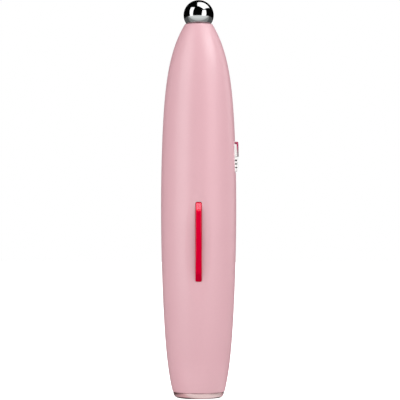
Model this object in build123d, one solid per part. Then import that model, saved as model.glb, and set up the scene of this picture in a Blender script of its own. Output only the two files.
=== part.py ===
from build123d import *
import os
from math import atan2, cos, degrees, hypot, pi, sin, sqrt

# Microcurrent facial pen: a pink shell with a ball electrode at the nose, a contact strip on the front,
# a button and three indicator windows on the side, and a screw cap for the cell at the base.
# Millimetres. Z runs up the pen from the flat base to the ball, the strip faces -Y, the button faces +X.

os.makedirs("parts", exist_ok=True)

# Whole pen
total_length = 150.0
body_radius = 14.2
widest_height = 72.0
seam_height = 2.3
seam_radius = 9.85
seam_gap = 0.2
shell_wall = 1.8

# How the outline narrows: a gentle share that grows with the square, and a late share with a high power
nose_gentle = 0.377
nose_power = 6.2
base_gentle = 0.673
base_power = 8.0
slope_step = 0.01

# Clearances
running_gap = 0.05
press_gap = 0.02
seat_gap = 0.05
slip_gap = 0.15
button_gap = 0.12

# Ball electrode
ball_radius = 5.7
ball_lift = 3.2
nose_lip = 0.25
stud_radius = 1.5
stud_rest = 1.5
nose_floor_wall = 4.0
seal_ring_radius = 3.0
seal_ring_wire = 0.5
seal_groove_cover = 1.0
tag_radius = 3.2
tag_thickness = 0.5
tag_ear_gap = 0.15
nut_across_flats = 5.5
nut_height = 2.4

# Cell
cell_radius = 7.25
cell_length = 50.5
cell_nub_radius = 2.75
cell_nub_height = 1.0
cell_edge = 0.6
cell_rest_height = 12.6
cell_gap = 0.25
cell_pass = 0.5

# Threaded collar in the mouth of the shell
collar_wall = 0.95
collar_recess = 0.6
collar_length = 6.1

# Base cap
cap_inset = 0.25
cap_foot_inset = 0.45
cap_edge_radius = 1.8
cap_floor_rise = 0.8
spigot_wall = 1.0
spigot_end_gap = 0.6
cap_seal_wire = 0.36
cap_seal_gap = 0.14
plate_thickness = 0.3
plate_lip = 0.3
coin_slot_width = 1.6
coin_slot_length = 11.0
coin_slot_depth = 1.1

# Springs
cell_spring_wire = 0.7
cell_spring_base = 5.4
cell_spring_top = 2.6
cell_spring_turns = 5
nose_spring_wire = 0.4
nose_spring_radius = 1.45
nose_spring_turns = 6
nose_spring_length = 6.45

# Chassis
tube_wall = 0.85
guide_gap = 0.1
bulkhead = 2.0
beam_wall = 1.2
head = 2.0
window_width = 7.0
window_corner = 3.0
window_start = 2.0
window_count = 3
spring_cup_wall = 0.7
spring_cup_height = 2.5
rib_thickness = 1.2
lead_width = 2.0
lead_swing = 2.9
lead_inset = 0.2
lead_board_gap = 0.06
lead_overlap = 3.0
contact_thickness = 0.3
contact_inset = 1.5
tab_length = 3.0

# Circuit board
board_face = 5.2
board_thickness = 1.2
board_end_gap = 0.6
board_corner = 1.0
screw_radius = 0.85
screw_head_radius = 1.6
screw_head_height = 0.9
screw_length = 3.6
screw_hole_depth = 2.4
screw_edge = 1.7
screw_end = 3.5
screw_slot = 0.4

# Components on the board
chip_width = 4.0
chip_length = 5.0
chip_height = 1.1
pin_count = 4
pin_pitch = 1.27
pin_width = 0.4
pin_reach = 1.0
pin_height = 0.3
coil_size = 4.4
coil_radius = 2.0
coil_foot = 0.3
coil_height = 2.3
capacitor_count = 3
capacitor_width = 1.25
capacitor_length = 2.0
capacitor_height = 1.0
capacitor_pitch = 3.0
capacitor_edge = 1.6
switch_size = 4.5
switch_height = 2.3
switch_foot = 1.0
stem_radius = 1.1
stem_rise = 0.7
light_size = 1.6
light_length = 0.8
light_height = 0.7

# Side control
control_height = 90.81
control_length = 11.22
control_width = 5.6
control_corner = 1.0
control_rim = 0.5
split_drop = 0.11
plate_rise = 0.9
button_rise = 1.5
face_thickness = 0.45
plate_ramp = 1.2
plate_ramp_drop = 0.45
housing_depth = 3.74
housing_floor = 1.2
skirt_depth = 1.3
button_travel = 0.4
post_radius = 1.2
barb_radius = 1.4
barb_length = 0.45
hook_reach = 0.45
hook_width = 3.0
hook_depth = 1.4
seal_thickness = 0.6
seal_radius = 2.2

# Indicators
indicator_count = 3
indicator_pitch = 1.35
indicator_drop = 1.3
indicator_height = 0.45
indicator_depth = 0.6
indicator_recess = 0.35
guide_width = 2.2
guide_blade = 0.4
guide_start_gap = 0.3

# Contact strip and the dimple it lies in
strip_height = 58.6
strip_length = 30.2
strip_width = 2.3
strip_rise = 0.3
strip_corner = 0.5
strip_edge = 0.45
outward_share = 0.8
strip_ramp = 3.0
strip_ramp_drop = 0.75
strip_seat = 1.3
strip_post_radius = 1.0
strip_post_spacing = 22.0
strip_post_reach = 4.0
strip_boss_width = 5.4
strip_boss_reach = 2.9
washer_radius = 2.4
washer_thickness = 0.4
dimple_below = 7.5
dimple_above = 4.3
dimple_depth = 0.78
dimple_cross_radius = 60.0
dimple_edge = 8.0
leaf_thickness = 0.25
leaf_width = 2.5
leaf_rise = 3.6
leaf_tab = 2.2
leaf_reach = 1.8
leaf_turn = 2.4
leaf_end = 1.6
leaf_bend = 1.2

# Heights along the pen that follow from the sizes above
ball_height = total_length - ball_radius
rim_height = ball_height - ball_lift
seat_radius = ball_radius + seat_gap
rim_radius = sqrt(seat_radius**2 - ball_lift**2) + nose_lip
nose_floor_height = ball_height - seat_radius - nose_floor_wall
nut_low = nose_floor_height - tag_thickness - nut_height
stud_low = nut_low - stud_rest
collar_low = seam_height + collar_recess
collar_high = collar_low + collar_length
cap_height = seam_height - seam_gap
cap_floor = cap_height + cap_floor_rise
chassis_low = collar_high + contact_thickness
cell_high = cell_rest_height + cell_length
bulkhead_low = cell_high + contact_thickness
beam_low = bulkhead_low + bulkhead
chassis_high = stud_low - nose_spring_length - contact_thickness
beam_high = chassis_high - head
board_low = beam_low + board_end_gap
board_high = beam_high - board_end_gap
board_back = board_face - board_thickness
split_height = control_height - split_drop
button_low = split_height + button_gap / 2
plate_high = button_low - button_gap
control_top = control_height + control_length / 2
control_low = control_height - control_length / 2
button_middle = (button_low + control_top) / 2
strip_low = strip_height - strip_length / 2
strip_high = strip_height + strip_length / 2
dimple_low = strip_low - dimple_below
dimple_high = strip_high + dimple_above
leaf_height = board_low + leaf_rise

# Distances from the pen's axis that follow from the sizes above
tube_radius = cell_radius + cell_gap
chassis_radius = tube_radius + tube_wall
guide_radius = chassis_radius + guide_gap
collar_radius = cell_radius + cell_pass
collar_outer_radius = collar_radius + collar_wall
spigot_radius = collar_radius - slip_gap
spigot_bore = spigot_radius - spigot_wall
cap_radius = seam_radius - cap_inset
cap_foot_radius = seam_radius - cap_foot_inset
cap_seal_radius = spigot_radius + cap_seal_gap + cap_seal_wire
lead_outer = chassis_radius - lead_inset
board_half = sqrt((lead_outer - contact_thickness - lead_board_gap)**2 - board_face**2)
lead_angle = degrees(atan2(board_half, board_face)) + lead_swing
strip_floor = body_radius - strip_seat
strip_post_end = body_radius - strip_post_reach
strip_boss_face = body_radius - strip_boss_reach
cutter_reach = 2 * body_radius


def narrowing(way, gentle, power):
    """Share of the narrowing reached at a share of the way from the widest part."""
    return gentle * way**2 + (1 - gentle) * way**power


def outline_radius(height):
    """Radius of the body's outer face at a height."""
    if height > widest_height:
        way = (height - widest_height) / (rim_height - widest_height)
        return body_radius - (body_radius - rim_radius) * narrowing(way, nose_gentle, nose_power)
    way = (widest_height - height) / (widest_height - seam_height)
    return body_radius - (body_radius - seam_radius) * narrowing(way, base_gentle, base_power)


def outline_slope(height):
    """How fast the outline's radius grows with the height."""
    return (outline_radius(height + slope_step) - outline_radius(height - slope_step)) / (2 * slope_step)


def outline_point(height, offset):
    """Point at a distance outside the outline, square to it."""
    slope = outline_slope(height)
    across = hypot(slope, 1)
    return (outline_radius(height) + offset / across, height - offset * slope / across)


def inner_radius(height):
    """Radius of the shell's inner wall at a height, since the wall is measured square to the outline."""
    return outline_radius(height) - shell_wall * hypot(outline_slope(height), 1)


def ramped(rise, low, high, ramps, drop, half_width):
    """Slab out past the body on the +X side, whose outer end slopes down towards each end that has a ramp."""
    slab = block((body_radius / 2, -half_width, low), (cutter_reach, half_width, high))
    for end, ramp in ((low, ramps[0]), (high, -ramps[1])):
        if ramp:
            foot = outline_radius(end) + rise - drop
            crest = outline_radius(end + ramp) + rise
            far = end + ramp * (cutter_reach - foot) / (crest - foot)
            wedge = make_face(Polyline((foot, end), (cutter_reach, far), (cutter_reach, end), close=True))
            slab -= extrude(Plane.XZ * wedge, half_width, both=True)
    return slab


def body_form(offset=0.0, stations=17):
    """Solid of the body's outline, grown or shrunk evenly. Stations lie closer together at both ends."""
    span = rim_height - seam_height
    ways = [(1 - cos(pi * i / (stations - 1))) / 2 for i in range(stations)]
    points = [outline_point(seam_height + span * way, offset) for way in ways]
    side = Spline(points)
    rest = Polyline(points[-1], (0, points[-1][1]), (0, points[0][1]), points[0])
    return revolve(Plane.XZ * make_face([side, rest]), Axis.Z)


def ring(outer, inner, low, high):
    """Tube about the pen's axis."""
    middle = Pos(0, 0, (low + high) / 2)
    tube = Cylinder(outer, high - low)
    if inner:
        tube -= Cylinder(inner, high - low)
    return middle * tube


def block(low, high):
    """Box between two corners."""
    size = [high[i] - low[i] for i in range(3)]
    return Pos(*[(high[i] + low[i]) / 2 for i in range(3)]) * Box(*size)


def rod_x(radius, start, end, y, z, inner=0.0):
    """Cylinder or tube along X."""
    rod = Cylinder(radius, end - start)
    if inner:
        rod -= Cylinder(inner, end - start)
    return Pos((start + end) / 2, y, z) * Rot(0, 90, 0) * rod


def rod_y(radius, start, end, x, z, inner=0.0):
    """Cylinder or tube along Y."""
    rod = Cylinder(radius, end - start)
    if inner:
        rod -= Cylinder(inner, end - start)
    return Pos(x, (start + end) / 2, z) * Rot(90, 0, 0) * rod


def control_prism(start, end, margin=0.0, corner=control_corner):
    """Rounded rectangle of the side control, run along X."""
    outline = RectangleRounded(control_width + 2 * margin, control_length + 2 * margin, corner + margin)
    face = Plane.YZ * Pos(0, control_height) * outline
    return Pos(start, 0, 0) * extrude(face, end - start, dir=(1, 0, 0))


def strip_prism(start, end, margin=0.0):
    """Bar with rounded corners on the front, run from one radius out to another."""
    outline = RectangleRounded(strip_width + 2 * margin, strip_length + 2 * margin, strip_corner + margin)
    face = Plane.XZ * Pos(0, strip_height) * outline
    return Pos(0, -start, 0) * extrude(face, end - start, dir=(0, -1, 0))


def coil(radius_low, radius_high, turns, low, high):
    """Path of a spring: four biarcs to the turn, each pair of arcs tangent to the helix at its ends."""
    count = 4 * turns

    def place(share):
        angle = 2 * pi * turns * share
        radius = radius_low + (radius_high - radius_low) * share
        return Vector(radius * cos(angle), radius * sin(angle), low + (high - low) * share)

    def heading(share):
        angle = 2 * pi * turns * share
        radius = radius_low + (radius_high - radius_low) * share
        swing = 2 * pi * turns * radius
        draw = radius_high - radius_low
        return Vector(draw * cos(angle) - swing * sin(angle), draw * sin(angle) + swing * cos(angle),
                      high - low).normalized()

    edges = []
    for i in range(count):
        start, end = place(i / count), place((i + 1) / count)
        leave, arrive = heading(i / count), heading((i + 1) / count)
        chord = end - start
        both = leave + arrive
        square = 2 * (1 - leave.dot(arrive))
        reach = (sqrt(chord.dot(both)**2 + square * chord.dot(chord)) - chord.dot(both)) / square
        joint = (start + end + (leave - arrive) * reach) * 0.5
        edges.append(TangentArc(start, joint, tangent=leave))
        edges.append(TangentArc(joint, end, tangent=arrive * -1, tangent_from_first=False))
    print("spring gap to itself", round(least_gap(place, turns), 2))
    return Wire(edges)


def least_gap(place, turns):
    """Least distance between points of a coil's centre line, three quarters of a turn or more apart."""
    per_turn = 48
    apart = 3 * per_turn // 4
    points = [place(i / (per_turn * turns)) for i in range(per_turn * turns + 1)]
    pairs = [(a, b) for a in range(len(points)) for b in range(a + apart, len(points))]
    return min((points[a] - points[b]).length for a, b in pairs)


def spring(wire_width, radius_low, radius_high, turns, low, high):
    """Round wire wound between two heights."""
    half = wire_width / 2
    path = coil(radius_low, radius_high, turns, low + half, high - half)
    section = Plane(origin=path @ 0, z_dir=path % 0) * Circle(half)
    return sweep(section, path)


def nose_seal():
    """Ring that the ball presses into its groove, touching the ball's underside."""
    reach = ball_radius + seal_ring_wire + press_gap / 2
    height = ball_height - sqrt(reach**2 - seal_ring_radius**2)
    return Pos(0, 0, height) * Torus(seal_ring_radius, seal_ring_wire)


def nose_seal_groove():
    """Annular groove under the ball."""
    low = nose_seal().bounding_box().min.Z - press_gap
    half = seal_ring_wire + seat_gap
    return ring(seal_ring_radius + half, seal_ring_radius - half, low, rim_height - seal_groove_cover)


def ball_electrode():
    """Turned ball with a threaded stud."""
    return Pos(0, 0, ball_height) * Sphere(ball_radius) + ring(stud_radius, 0, stud_low, ball_height)


def dimple():
    """Cutter for the finger's dimple: part of a large ring, gently round across the pen."""
    middle = (dimple_low + dimple_high) / 2
    foot = (-outline_radius(dimple_low), dimple_low)
    crest = (-outline_radius(dimple_high), dimple_high)
    lengthways = ThreePointArc(foot, (dimple_depth - outline_radius(middle), middle), crest)
    centre = lengthways.arc_center
    scoop = Torus(lengthways.radius - dimple_cross_radius, dimple_cross_radius)
    scoop = Pos(0, centre.X, centre.Y) * Rot(0, 90, 0) * scoop
    low, high = dimple_low - body_radius, dimple_high + body_radius
    return scoop & block((-body_radius, -cutter_reach, low), (body_radius, 0, high))


def dimpled_form():
    """Solid of the body's outline with the dimple, its edge rounded."""
    form = body_form() - dimple()
    rounded = form.edges().filter_by(lambda edge: edge.bounding_box().max.Y < -body_radius / 2)
    return fillet(rounded, dimple_edge)


def hollow():
    """Inside of the shell, less its four guide ribs and the boss behind the contact strip."""
    low = collar_high + shell_wall
    room = body_form(-shell_wall) & ring(body_radius, 0, low, nose_floor_height)
    for turn in range(4):
        rib = block((guide_radius, -rib_thickness / 2, low), (body_radius, rib_thickness / 2, cell_high))
        room -= Rot(0, 0, 45 + 90 * turn) * rib
    half = strip_boss_width / 2
    boss = block((-half, -body_radius, strip_low - half), (half, -strip_boss_face, strip_high + half))
    return room - boss


def body_shell():
    """Shell with its nose seat, side window, dimple, strip pocket, mouth and guide ribs."""
    shell = dimpled_form()
    shell -= control_prism(guide_radius, cutter_reach, control_rim + seat_gap)
    shell -= strip_prism(strip_floor, cutter_reach, seat_gap)
    shell -= hollow()
    for height in strip_post_heights():
        shell -= rod_y(strip_post_radius + seat_gap, -body_radius, -guide_radius, 0, height)
    shell -= ring(collar_outer_radius + press_gap, 0, seam_height, collar_high)
    shell -= ring(guide_radius, 0, collar_high, collar_high + shell_wall)
    shell -= Pos(0, 0, ball_height) * Sphere(seat_radius)
    shell -= ring(stud_radius + slip_gap, 0, nose_floor_height, ball_height)
    return shell - nose_seal_groove()


def electrode_tag():
    """Solder tag under the nose, with an ear that reaches almost to the wall."""
    high = nose_floor_height
    low = high - tag_thickness
    half = nut_across_flats / 4
    ear = sqrt((inner_radius(high) - tag_ear_gap)**2 - half**2)
    tag = ring(tag_radius, 0, low, high) + block((0, -half, low), (ear, half, high))
    return tag - ring(stud_radius + seat_gap, 0, low, high)


def electrode_nut():
    """Nut that clamps the ball to the nose."""
    body = extrude(RegularPolygon(nut_across_flats / 2, 6, major_radius=False), nut_height)
    return Pos(0, 0, nut_low) * body - ring(stud_radius + seat_gap, 0, nut_low, nut_low + nut_height)


def chassis_beam():
    """Half round beam with a flat floor for the board."""
    floor_back = board_back - beam_wall
    beam = ring(chassis_radius, 0, beam_low, beam_high)
    beam &= block((-body_radius, -body_radius, beam_low), (board_back, body_radius, beam_high))
    inside = ring(chassis_radius - beam_wall, 0, beam_low, beam_high)
    inside &= block((-body_radius, -body_radius, beam_low), (floor_back, body_radius, beam_high))
    beam -= inside
    foot = floor_back - screw_hole_depth
    for y, z in screw_places():
        beam += rod_x(2 * screw_radius, foot, floor_back, y, z)
        beam -= rod_x(screw_radius + running_gap, foot, board_back, y, z)
    return beam


def windows(low, high, start, count):
    """Round ended openings side by side along one face of the chassis, cut from its back."""
    pitch = (high - low) / count
    opening = RectangleRounded(window_width, pitch - window_corner, window_corner)
    face = Plane.YZ * opening
    cutter = extrude(face, body_radius, dir=(-1, 0, 0))
    return [Pos(start, 0, low + pitch * (i + 0.5)) * cutter for i in range(count)]


def chassis():
    """Cell tube, bulkhead, board beam and head in one moulding."""
    body = ring(chassis_radius, tube_radius, chassis_low, bulkhead_low)
    body += ring(chassis_radius, 0, bulkhead_low, beam_low)
    body += chassis_beam()
    body += ring(chassis_radius, 0, beam_high, chassis_high)
    body += ring(cup_radius() + spring_cup_wall, cup_radius(), chassis_high, chassis_high + spring_cup_height)
    tube_windows = windows(chassis_low, bulkhead_low, -window_start, window_count)
    for opening in tube_windows + windows(beam_low, beam_high, 0.0, window_count):
        body -= opening
    half = tab_half() + slip_gap
    outer = board_face + contact_thickness + slip_gap
    body -= block((board_face - slip_gap, -half, bulkhead_low), (outer, half, beam_low))
    body -= block((board_face - slip_gap, -half, beam_high), (outer, half, chassis_high))
    body -= block((0, -half, chassis_high), (outer, half, chassis_high + contact_thickness))
    body -= lead_bar(seat_gap, chassis_low, beam_low)
    return body


def cup_radius():
    """Inside of the cup that holds the nose spring."""
    return nose_spring_radius + nose_spring_wire / 2 + slip_gap


def tab_half():
    """Half the width of the contact tabs."""
    return lead_width / 2


def lead_bar(margin, low, high):
    """Straight run of the return lead, let into the outside of the chassis."""
    depth = contact_thickness + margin
    half = lead_width / 2 + margin
    outer = cutter_reach if margin else lead_outer
    return Rot(0, 0, lead_angle) * block((lead_outer - depth, -half, low), (outer, half, high))


def return_lead():
    """Flat strip that leads from the collar up to the board's edge."""
    foot = block((tube_radius, -lead_width / 2, collar_high), (lead_outer, lead_width / 2, chassis_low))
    return Rot(0, 0, lead_angle) * foot + lead_bar(0, collar_high, board_low + lead_overlap)


def screw_places():
    """Where the two board screws stand, in Y and Z, at opposite corners of the board."""
    inset = board_half - screw_edge
    return [(inset, board_low + screw_end), (-inset, board_high - screw_end)]


def circuit_board():
    """Board on the chassis, with its two screw holes."""
    board = block((board_back, -board_half, board_low), (board_face, board_half, board_high))
    board = fillet(board.edges().filter_by(Axis.X), board_corner)
    for y, z in screw_places():
        board -= rod_x(screw_radius + slip_gap, board_back, board_face, y, z)
    return board


def board_screws():
    """Two plain screws that hold the board to the chassis."""
    screws = []
    for y, z in screw_places():
        head_end = board_face + screw_head_height
        shank = rod_x(screw_radius, board_face - screw_length, board_face, y, z)
        cap = rod_x(screw_head_radius, board_face, head_end, y, z)
        half = screw_slot / 2
        cap -= block((head_end - screw_slot, y - screw_head_radius, z - half),
                     (head_end, y + screw_head_radius, z + half))
        screws.append(shank + cap)
    return screws


def on_board(y, z, width, length, height):
    """Box shaped component that stands on the board's outer face."""
    low = (board_face, y - width / 2, z - length / 2)
    return block(low, (board_face + height, y + width / 2, z + length / 2))


def controller_chip():
    """Flat package with leads down both sides, midway between the board's lower end and the lights."""
    middle = (board_low + min(indicator_heights())) / 2
    chip = on_board(0, middle, chip_width, chip_length, chip_height)
    for i in range(pin_count):
        z = middle + pin_pitch * (i - (pin_count - 1) / 2)
        for side in (-1, 1):
            chip += on_board(side * (chip_width + pin_reach) / 2, z, pin_reach, pin_width, pin_height)
    return chip


def coil_place():
    """Height of the booster's coil, midway between the switch and the tab at the board's upper end."""
    return (button_middle + switch_size / 2 + board_high - tab_length) / 2


def boost_coil():
    """Round coil of the voltage booster, on a square foot."""
    start = board_face + coil_foot
    winding = rod_x(coil_radius, start, board_face + coil_height, 0, coil_place())
    return on_board(0, coil_place(), coil_size, coil_size, coil_foot) + winding


def capacitors():
    """Column of small components beside the coil, along the board's edge."""
    y = board_half - capacitor_edge
    middle = (capacitor_count - 1) / 2
    return [on_board(y, coil_place() + capacitor_pitch * (i - middle), capacitor_width, capacitor_length,
                     capacitor_height) for i in range(capacitor_count)]


def tact_switch():
    """Switch under the button's post."""
    body = on_board(0, button_middle, switch_size, switch_size, switch_height)
    foot, top = board_face + switch_foot, board_face + switch_height
    return body - rod_x(stem_radius + running_gap, foot, top, 0, button_middle)


def switch_stem():
    """Stem of the switch. It moves with the button."""
    start = board_face + switch_foot + button_travel + slip_gap
    return rod_x(stem_radius, start, board_face + switch_height + stem_rise, 0, button_middle)


def control_housing():
    """White housing: flush rim, raised plate with three grooves, and a well for the button."""
    inner = housing_inner()
    housing = control_prism(inner, cutter_reach, control_rim) & body_form()
    plate = control_prism(inner, cutter_reach) & body_form(plate_rise) & below(plate_high)
    plate &= ramped(plate_rise, control_low, plate_high, (plate_ramp, 0), plate_ramp_drop, control_width)
    housing += plate
    housing -= control_prism(well_floor(), cutter_reach, button_gap) & above(plate_high)
    housing -= rod_x(post_radius + slip_gap, inner, well_floor(), 0, button_middle)
    for z in indicator_heights():
        housing -= indicator_slab(z, seat_gap, cutter_reach)
        housing -= light_blade_block(z, seat_gap)
    for side in (-1, 1):
        z = control_height + side * (control_length / 2 + control_rim)
        low, high = z - hook_reach, z + hook_reach
        hook = block((inner, -hook_width / 2, low), (inner + hook_depth, hook_width / 2, high))
        housing += hook & control_prism(inner, inner + hook_depth, control_rim + hook_reach)
    return housing


def housing_inner():
    """How far in the housing reaches."""
    return outline_radius(control_height) - housing_depth


def well_floor():
    """Floor of the well that the button stands over."""
    return housing_inner() + housing_floor


def below(height):
    """Half space under a height, near the side control."""
    return block((0, -body_radius, height - total_length), (cutter_reach, body_radius, height))


def above(height):
    """Half space over a height, near the side control."""
    return block((0, -body_radius, height), (cutter_reach, body_radius, height + total_length))


def button_core():
    """White core of the button, with its skirt, post and snap barb."""
    foot = well_floor() + skirt_depth
    core = control_prism(foot, cutter_reach) & body_form(button_rise - face_thickness)
    core &= above(button_low) & below(control_top - face_thickness)
    inner = board_face + switch_height + stem_rise
    core += rod_x(post_radius, inner, foot, 0, button_middle)
    barb_end = housing_inner() - running_gap
    core += rod_x(barb_radius, barb_end - barb_length, barb_end, 0, button_middle)
    return core


def button_face():
    """Crimson face of the button, wrapped over its top end."""
    foot = well_floor() + skirt_depth
    whole = control_prism(foot, cutter_reach) & body_form(button_rise) & above(button_low)
    core = control_prism(foot, cutter_reach, control_rim, 0.0) & body_form(button_rise - face_thickness)
    return whole - (core & below(control_top - face_thickness))


def button_seal():
    """Soft washer on the floor of the well, round the button's post."""
    start = well_floor()
    return rod_x(seal_radius, start, start + seal_thickness, 0, button_middle, post_radius + running_gap)


def indicator_heights():
    """Middles of the three indicator windows."""
    return [split_height - indicator_drop - indicator_pitch * i for i in range(indicator_count)]


def indicator_slab(z, margin, outer):
    """Space of one indicator window, at the floor of a groove across the whole plate."""
    half = indicator_height / 2 + margin
    slab = control_prism(housing_inner(), outer, margin)
    slab -= body_form(plate_rise - indicator_recess - indicator_depth - margin)
    return slab & above(z - half) & below(z + half)


def indicator_windows():
    """Three dark bars on the floors of their grooves, open at the plate's sides."""
    face = body_form(plate_rise - indicator_recess)
    return [indicator_slab(z, 0, cutter_reach) & face for z in indicator_heights()]


def light_blade_block(z, margin):
    """Blade of the light guide for one window."""
    half = guide_blade / 2 + margin
    wide = guide_width / 2 + margin
    blade = block((housing_inner() - margin, -wide, z - half), (cutter_reach, wide, z + half))
    return blade & body_form(plate_rise - indicator_recess - indicator_depth - seat_gap)


def light_guide():
    """Comb of three blades on a bridge, from the lights on the board to the windows."""
    heights = indicator_heights()
    wide = guide_width / 2
    start = board_face + light_height + guide_start_gap
    low, high = min(heights) - guide_blade / 2, max(heights) + guide_blade / 2
    guide = block((start, -wide, low), (housing_inner(), wide, high))
    for z in heights:
        guide += light_blade_block(z, 0)
    return guide


def indicator_lights():
    """Three small lights on the board, one under each blade."""
    return [on_board(0, z, light_size, light_length, light_height) for z in indicator_heights()]


def strip_post_heights():
    """Heights of the contact strip's two posts."""
    half = strip_post_spacing / 2
    return [strip_height - half, strip_height + half]


def contact_strip():
    """Raised bar with rounded edges and ends that slope down into the dimple, on two posts."""
    slab = ramped(strip_rise, strip_low, strip_high, (strip_ramp, strip_ramp), strip_ramp_drop, strip_width)
    bar = strip_prism(strip_floor, cutter_reach) & body_form(strip_rise) & Rot(0, 0, -90) * slab
    tops = [face for face in bar.faces() if face.normal_at().Y < -outward_share]
    uses = [edge for face in tops for edge in face.edges()]
    rim = [edge for edge in uses if sum(edge.is_same(other) for other in uses) == 1]
    bar = fillet(rim, strip_edge)
    for height in strip_post_heights():
        bar += rod_y(strip_post_radius, -strip_floor, -strip_post_end, 0, height)
    return bar


def strip_washers():
    """Push-on washers that hold the posts from inside."""
    start = -strip_boss_face
    hole = strip_post_radius + seat_gap
    return [rod_y(washer_radius, start, start + washer_thickness, 0, height, hole)
            for height in strip_post_heights()]


def strip_leaf():
    """Leaf spring from the board round the chassis, and along the shell to the strip's upper post."""
    half = leaf_thickness / 2
    rest = -strip_post_end + half
    edge = board_face + half
    round_board = [(edge, leaf_tab - board_half), (edge, -leaf_reach - board_half)]
    line = FilletPolyline(*round_board, (leaf_turn, rest), (-leaf_end, rest), radius=leaf_bend)
    leaf = Pos(0, 0, leaf_height - leaf_width / 2) * extrude(trace(line, leaf_thickness), leaf_width)
    heights = (leaf_height, strip_post_heights()[1])
    low, high = min(heights) - leaf_width / 2, max(heights) + leaf_width / 2
    return leaf + block((-leaf_end, rest - half, low), (leaf_turn - leaf_bend, rest + half, high))


def cell():
    """One AA cell."""
    body = fillet(Cylinder(cell_radius, cell_length - cell_nub_height).edges(), cell_edge)
    body = Pos(0, 0, cell_rest_height + (cell_length - cell_nub_height) / 2) * body
    nub_low = cell_high - cell_nub_height
    return body + ring(cell_nub_radius, 0, nub_low, cell_high)


def battery_contact():
    """Plate over the cell's nub with a tab up to the board."""
    plate = ring(tube_radius - contact_inset, 0, cell_high, bulkhead_low)
    half = tab_half()
    outer = board_face + contact_thickness
    plate += block((0, -half, cell_high), (outer, half, bulkhead_low))
    return plate + block((board_face, -half, cell_high), (outer, half, board_low + tab_length))


def electrode_contact():
    """Plate under the nose spring with a tab down to the board."""
    half = tab_half()
    outer = board_face + contact_thickness
    low = chassis_high
    plate = ring(cup_radius() - running_gap, 0, low, low + contact_thickness)
    plate += block((0, -half, low), (outer, half, low + contact_thickness))
    return plate + block((board_face, -half, board_high - tab_length), (outer, half, low + contact_thickness))


def base_collar():
    """Ring in the mouth of the shell that carries the cap's thread."""
    return ring(collar_outer_radius, collar_radius, collar_low, collar_high)


def base_cap():
    """Screw cap with a rounded foot, a threaded spigot, a coin slot and a lip over the spring plate."""
    side = Polyline((0, 0), (cap_foot_radius, 0), (cap_radius, cap_height), (0, cap_height), close=True)
    disc = revolve(Plane.XZ * make_face(side), Axis.Z)
    foot = disc.edges().group_by(Axis.Z)[0]
    disc = fillet(foot, cap_edge_radius)
    top = collar_high - spigot_end_gap
    cap = disc + ring(spigot_radius, 0, cap_height, top)
    cap -= ring(spigot_bore, 0, cap_floor, top)
    lip_low = cap_floor + plate_thickness + 2 * running_gap
    cap += ring(spigot_bore, spigot_bore - plate_lip, lip_low, lip_low + plate_lip)
    slot = extrude(SlotOverall(coin_slot_length, coin_slot_width), coin_slot_depth)
    return cap - slot


def cap_seal():
    """Dark ring that shows in the seam."""
    return Pos(0, 0, cap_height + cap_seal_wire) * Torus(cap_seal_radius, cap_seal_wire)


def spring_plate():
    """Plate that turns freely in the cap under the spring."""
    low = cap_floor + running_gap
    return ring(spigot_bore - slip_gap, 0, low, low + plate_thickness)


def battery_spring():
    """Cone spring between the plate and the cell."""
    low = cap_floor + running_gap + plate_thickness
    high = cell_rest_height
    return spring(cell_spring_wire, cell_spring_base, cell_spring_top, cell_spring_turns, low, high)


def electrode_spring():
    """Spring between the electrode contact and the stud."""
    low = chassis_high + contact_thickness
    return spring(nose_spring_wire, nose_spring_radius, nose_spring_radius, nose_spring_turns, low, stud_low)


pieces = {
    "body_shell": body_shell,
    "ball_electrode": ball_electrode,
    "nose_seal": nose_seal,
    "electrode_tag": electrode_tag,
    "electrode_nut": electrode_nut,
    "electrode_spring": electrode_spring,
    "electrode_contact": electrode_contact,
    "chassis": chassis,
    "circuit_board": circuit_board,
    "board_screws": board_screws,
    "controller_chip": controller_chip,
    "boost_coil": boost_coil,
    "capacitors": capacitors,
    "tact_switch": tact_switch,
    "switch_stem": switch_stem,
    "indicator_lights": indicator_lights,
    "light_guide": light_guide,
    "indicator_windows": indicator_windows,
    "control_housing": control_housing,
    "button_core": button_core,
    "button_face": button_face,
    "button_seal": button_seal,
    "contact_strip": contact_strip,
    "strip_washers": strip_washers,
    "strip_leaf": strip_leaf,
    "cell": cell,
    "battery_contact": battery_contact,
    "return_lead": return_lead,
    "base_collar": base_collar,
    "base_cap": base_cap,
    "cap_seal": cap_seal,
    "spring_plate": spring_plate,
    "battery_spring": battery_spring,
}

for name, make in pieces.items():
    shape = make()
    if isinstance(shape, list):
        shape = Compound(children=[solid for item in shape for solid in item.solids()])
    export_step(shape, f"parts/{name}.step")
    print(name, len(shape.solids()), round(shape.volume, 2))
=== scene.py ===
import bmesh
import bpy
from math import cos, hypot, pi, radians, sin, sqrt, tan
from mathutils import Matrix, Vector


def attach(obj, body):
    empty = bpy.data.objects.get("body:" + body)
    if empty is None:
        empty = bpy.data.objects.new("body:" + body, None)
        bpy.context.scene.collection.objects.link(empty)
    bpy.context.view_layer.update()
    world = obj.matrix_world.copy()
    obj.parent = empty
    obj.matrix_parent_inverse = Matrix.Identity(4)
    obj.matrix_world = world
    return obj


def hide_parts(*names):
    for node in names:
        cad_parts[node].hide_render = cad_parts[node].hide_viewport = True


# Microcurrent facial pen. The CAD nodes carry the size and the joints; the pieces below give the outside
# its finished form, and every node its finish. Sizes are in millimetres until a mesh is made.

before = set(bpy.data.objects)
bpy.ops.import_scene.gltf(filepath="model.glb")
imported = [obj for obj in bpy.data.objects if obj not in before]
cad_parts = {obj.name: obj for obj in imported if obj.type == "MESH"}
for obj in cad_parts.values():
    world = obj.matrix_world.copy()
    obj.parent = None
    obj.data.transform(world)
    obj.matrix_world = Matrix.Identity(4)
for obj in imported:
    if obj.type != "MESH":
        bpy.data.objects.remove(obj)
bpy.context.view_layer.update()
MM = 0.001

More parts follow.
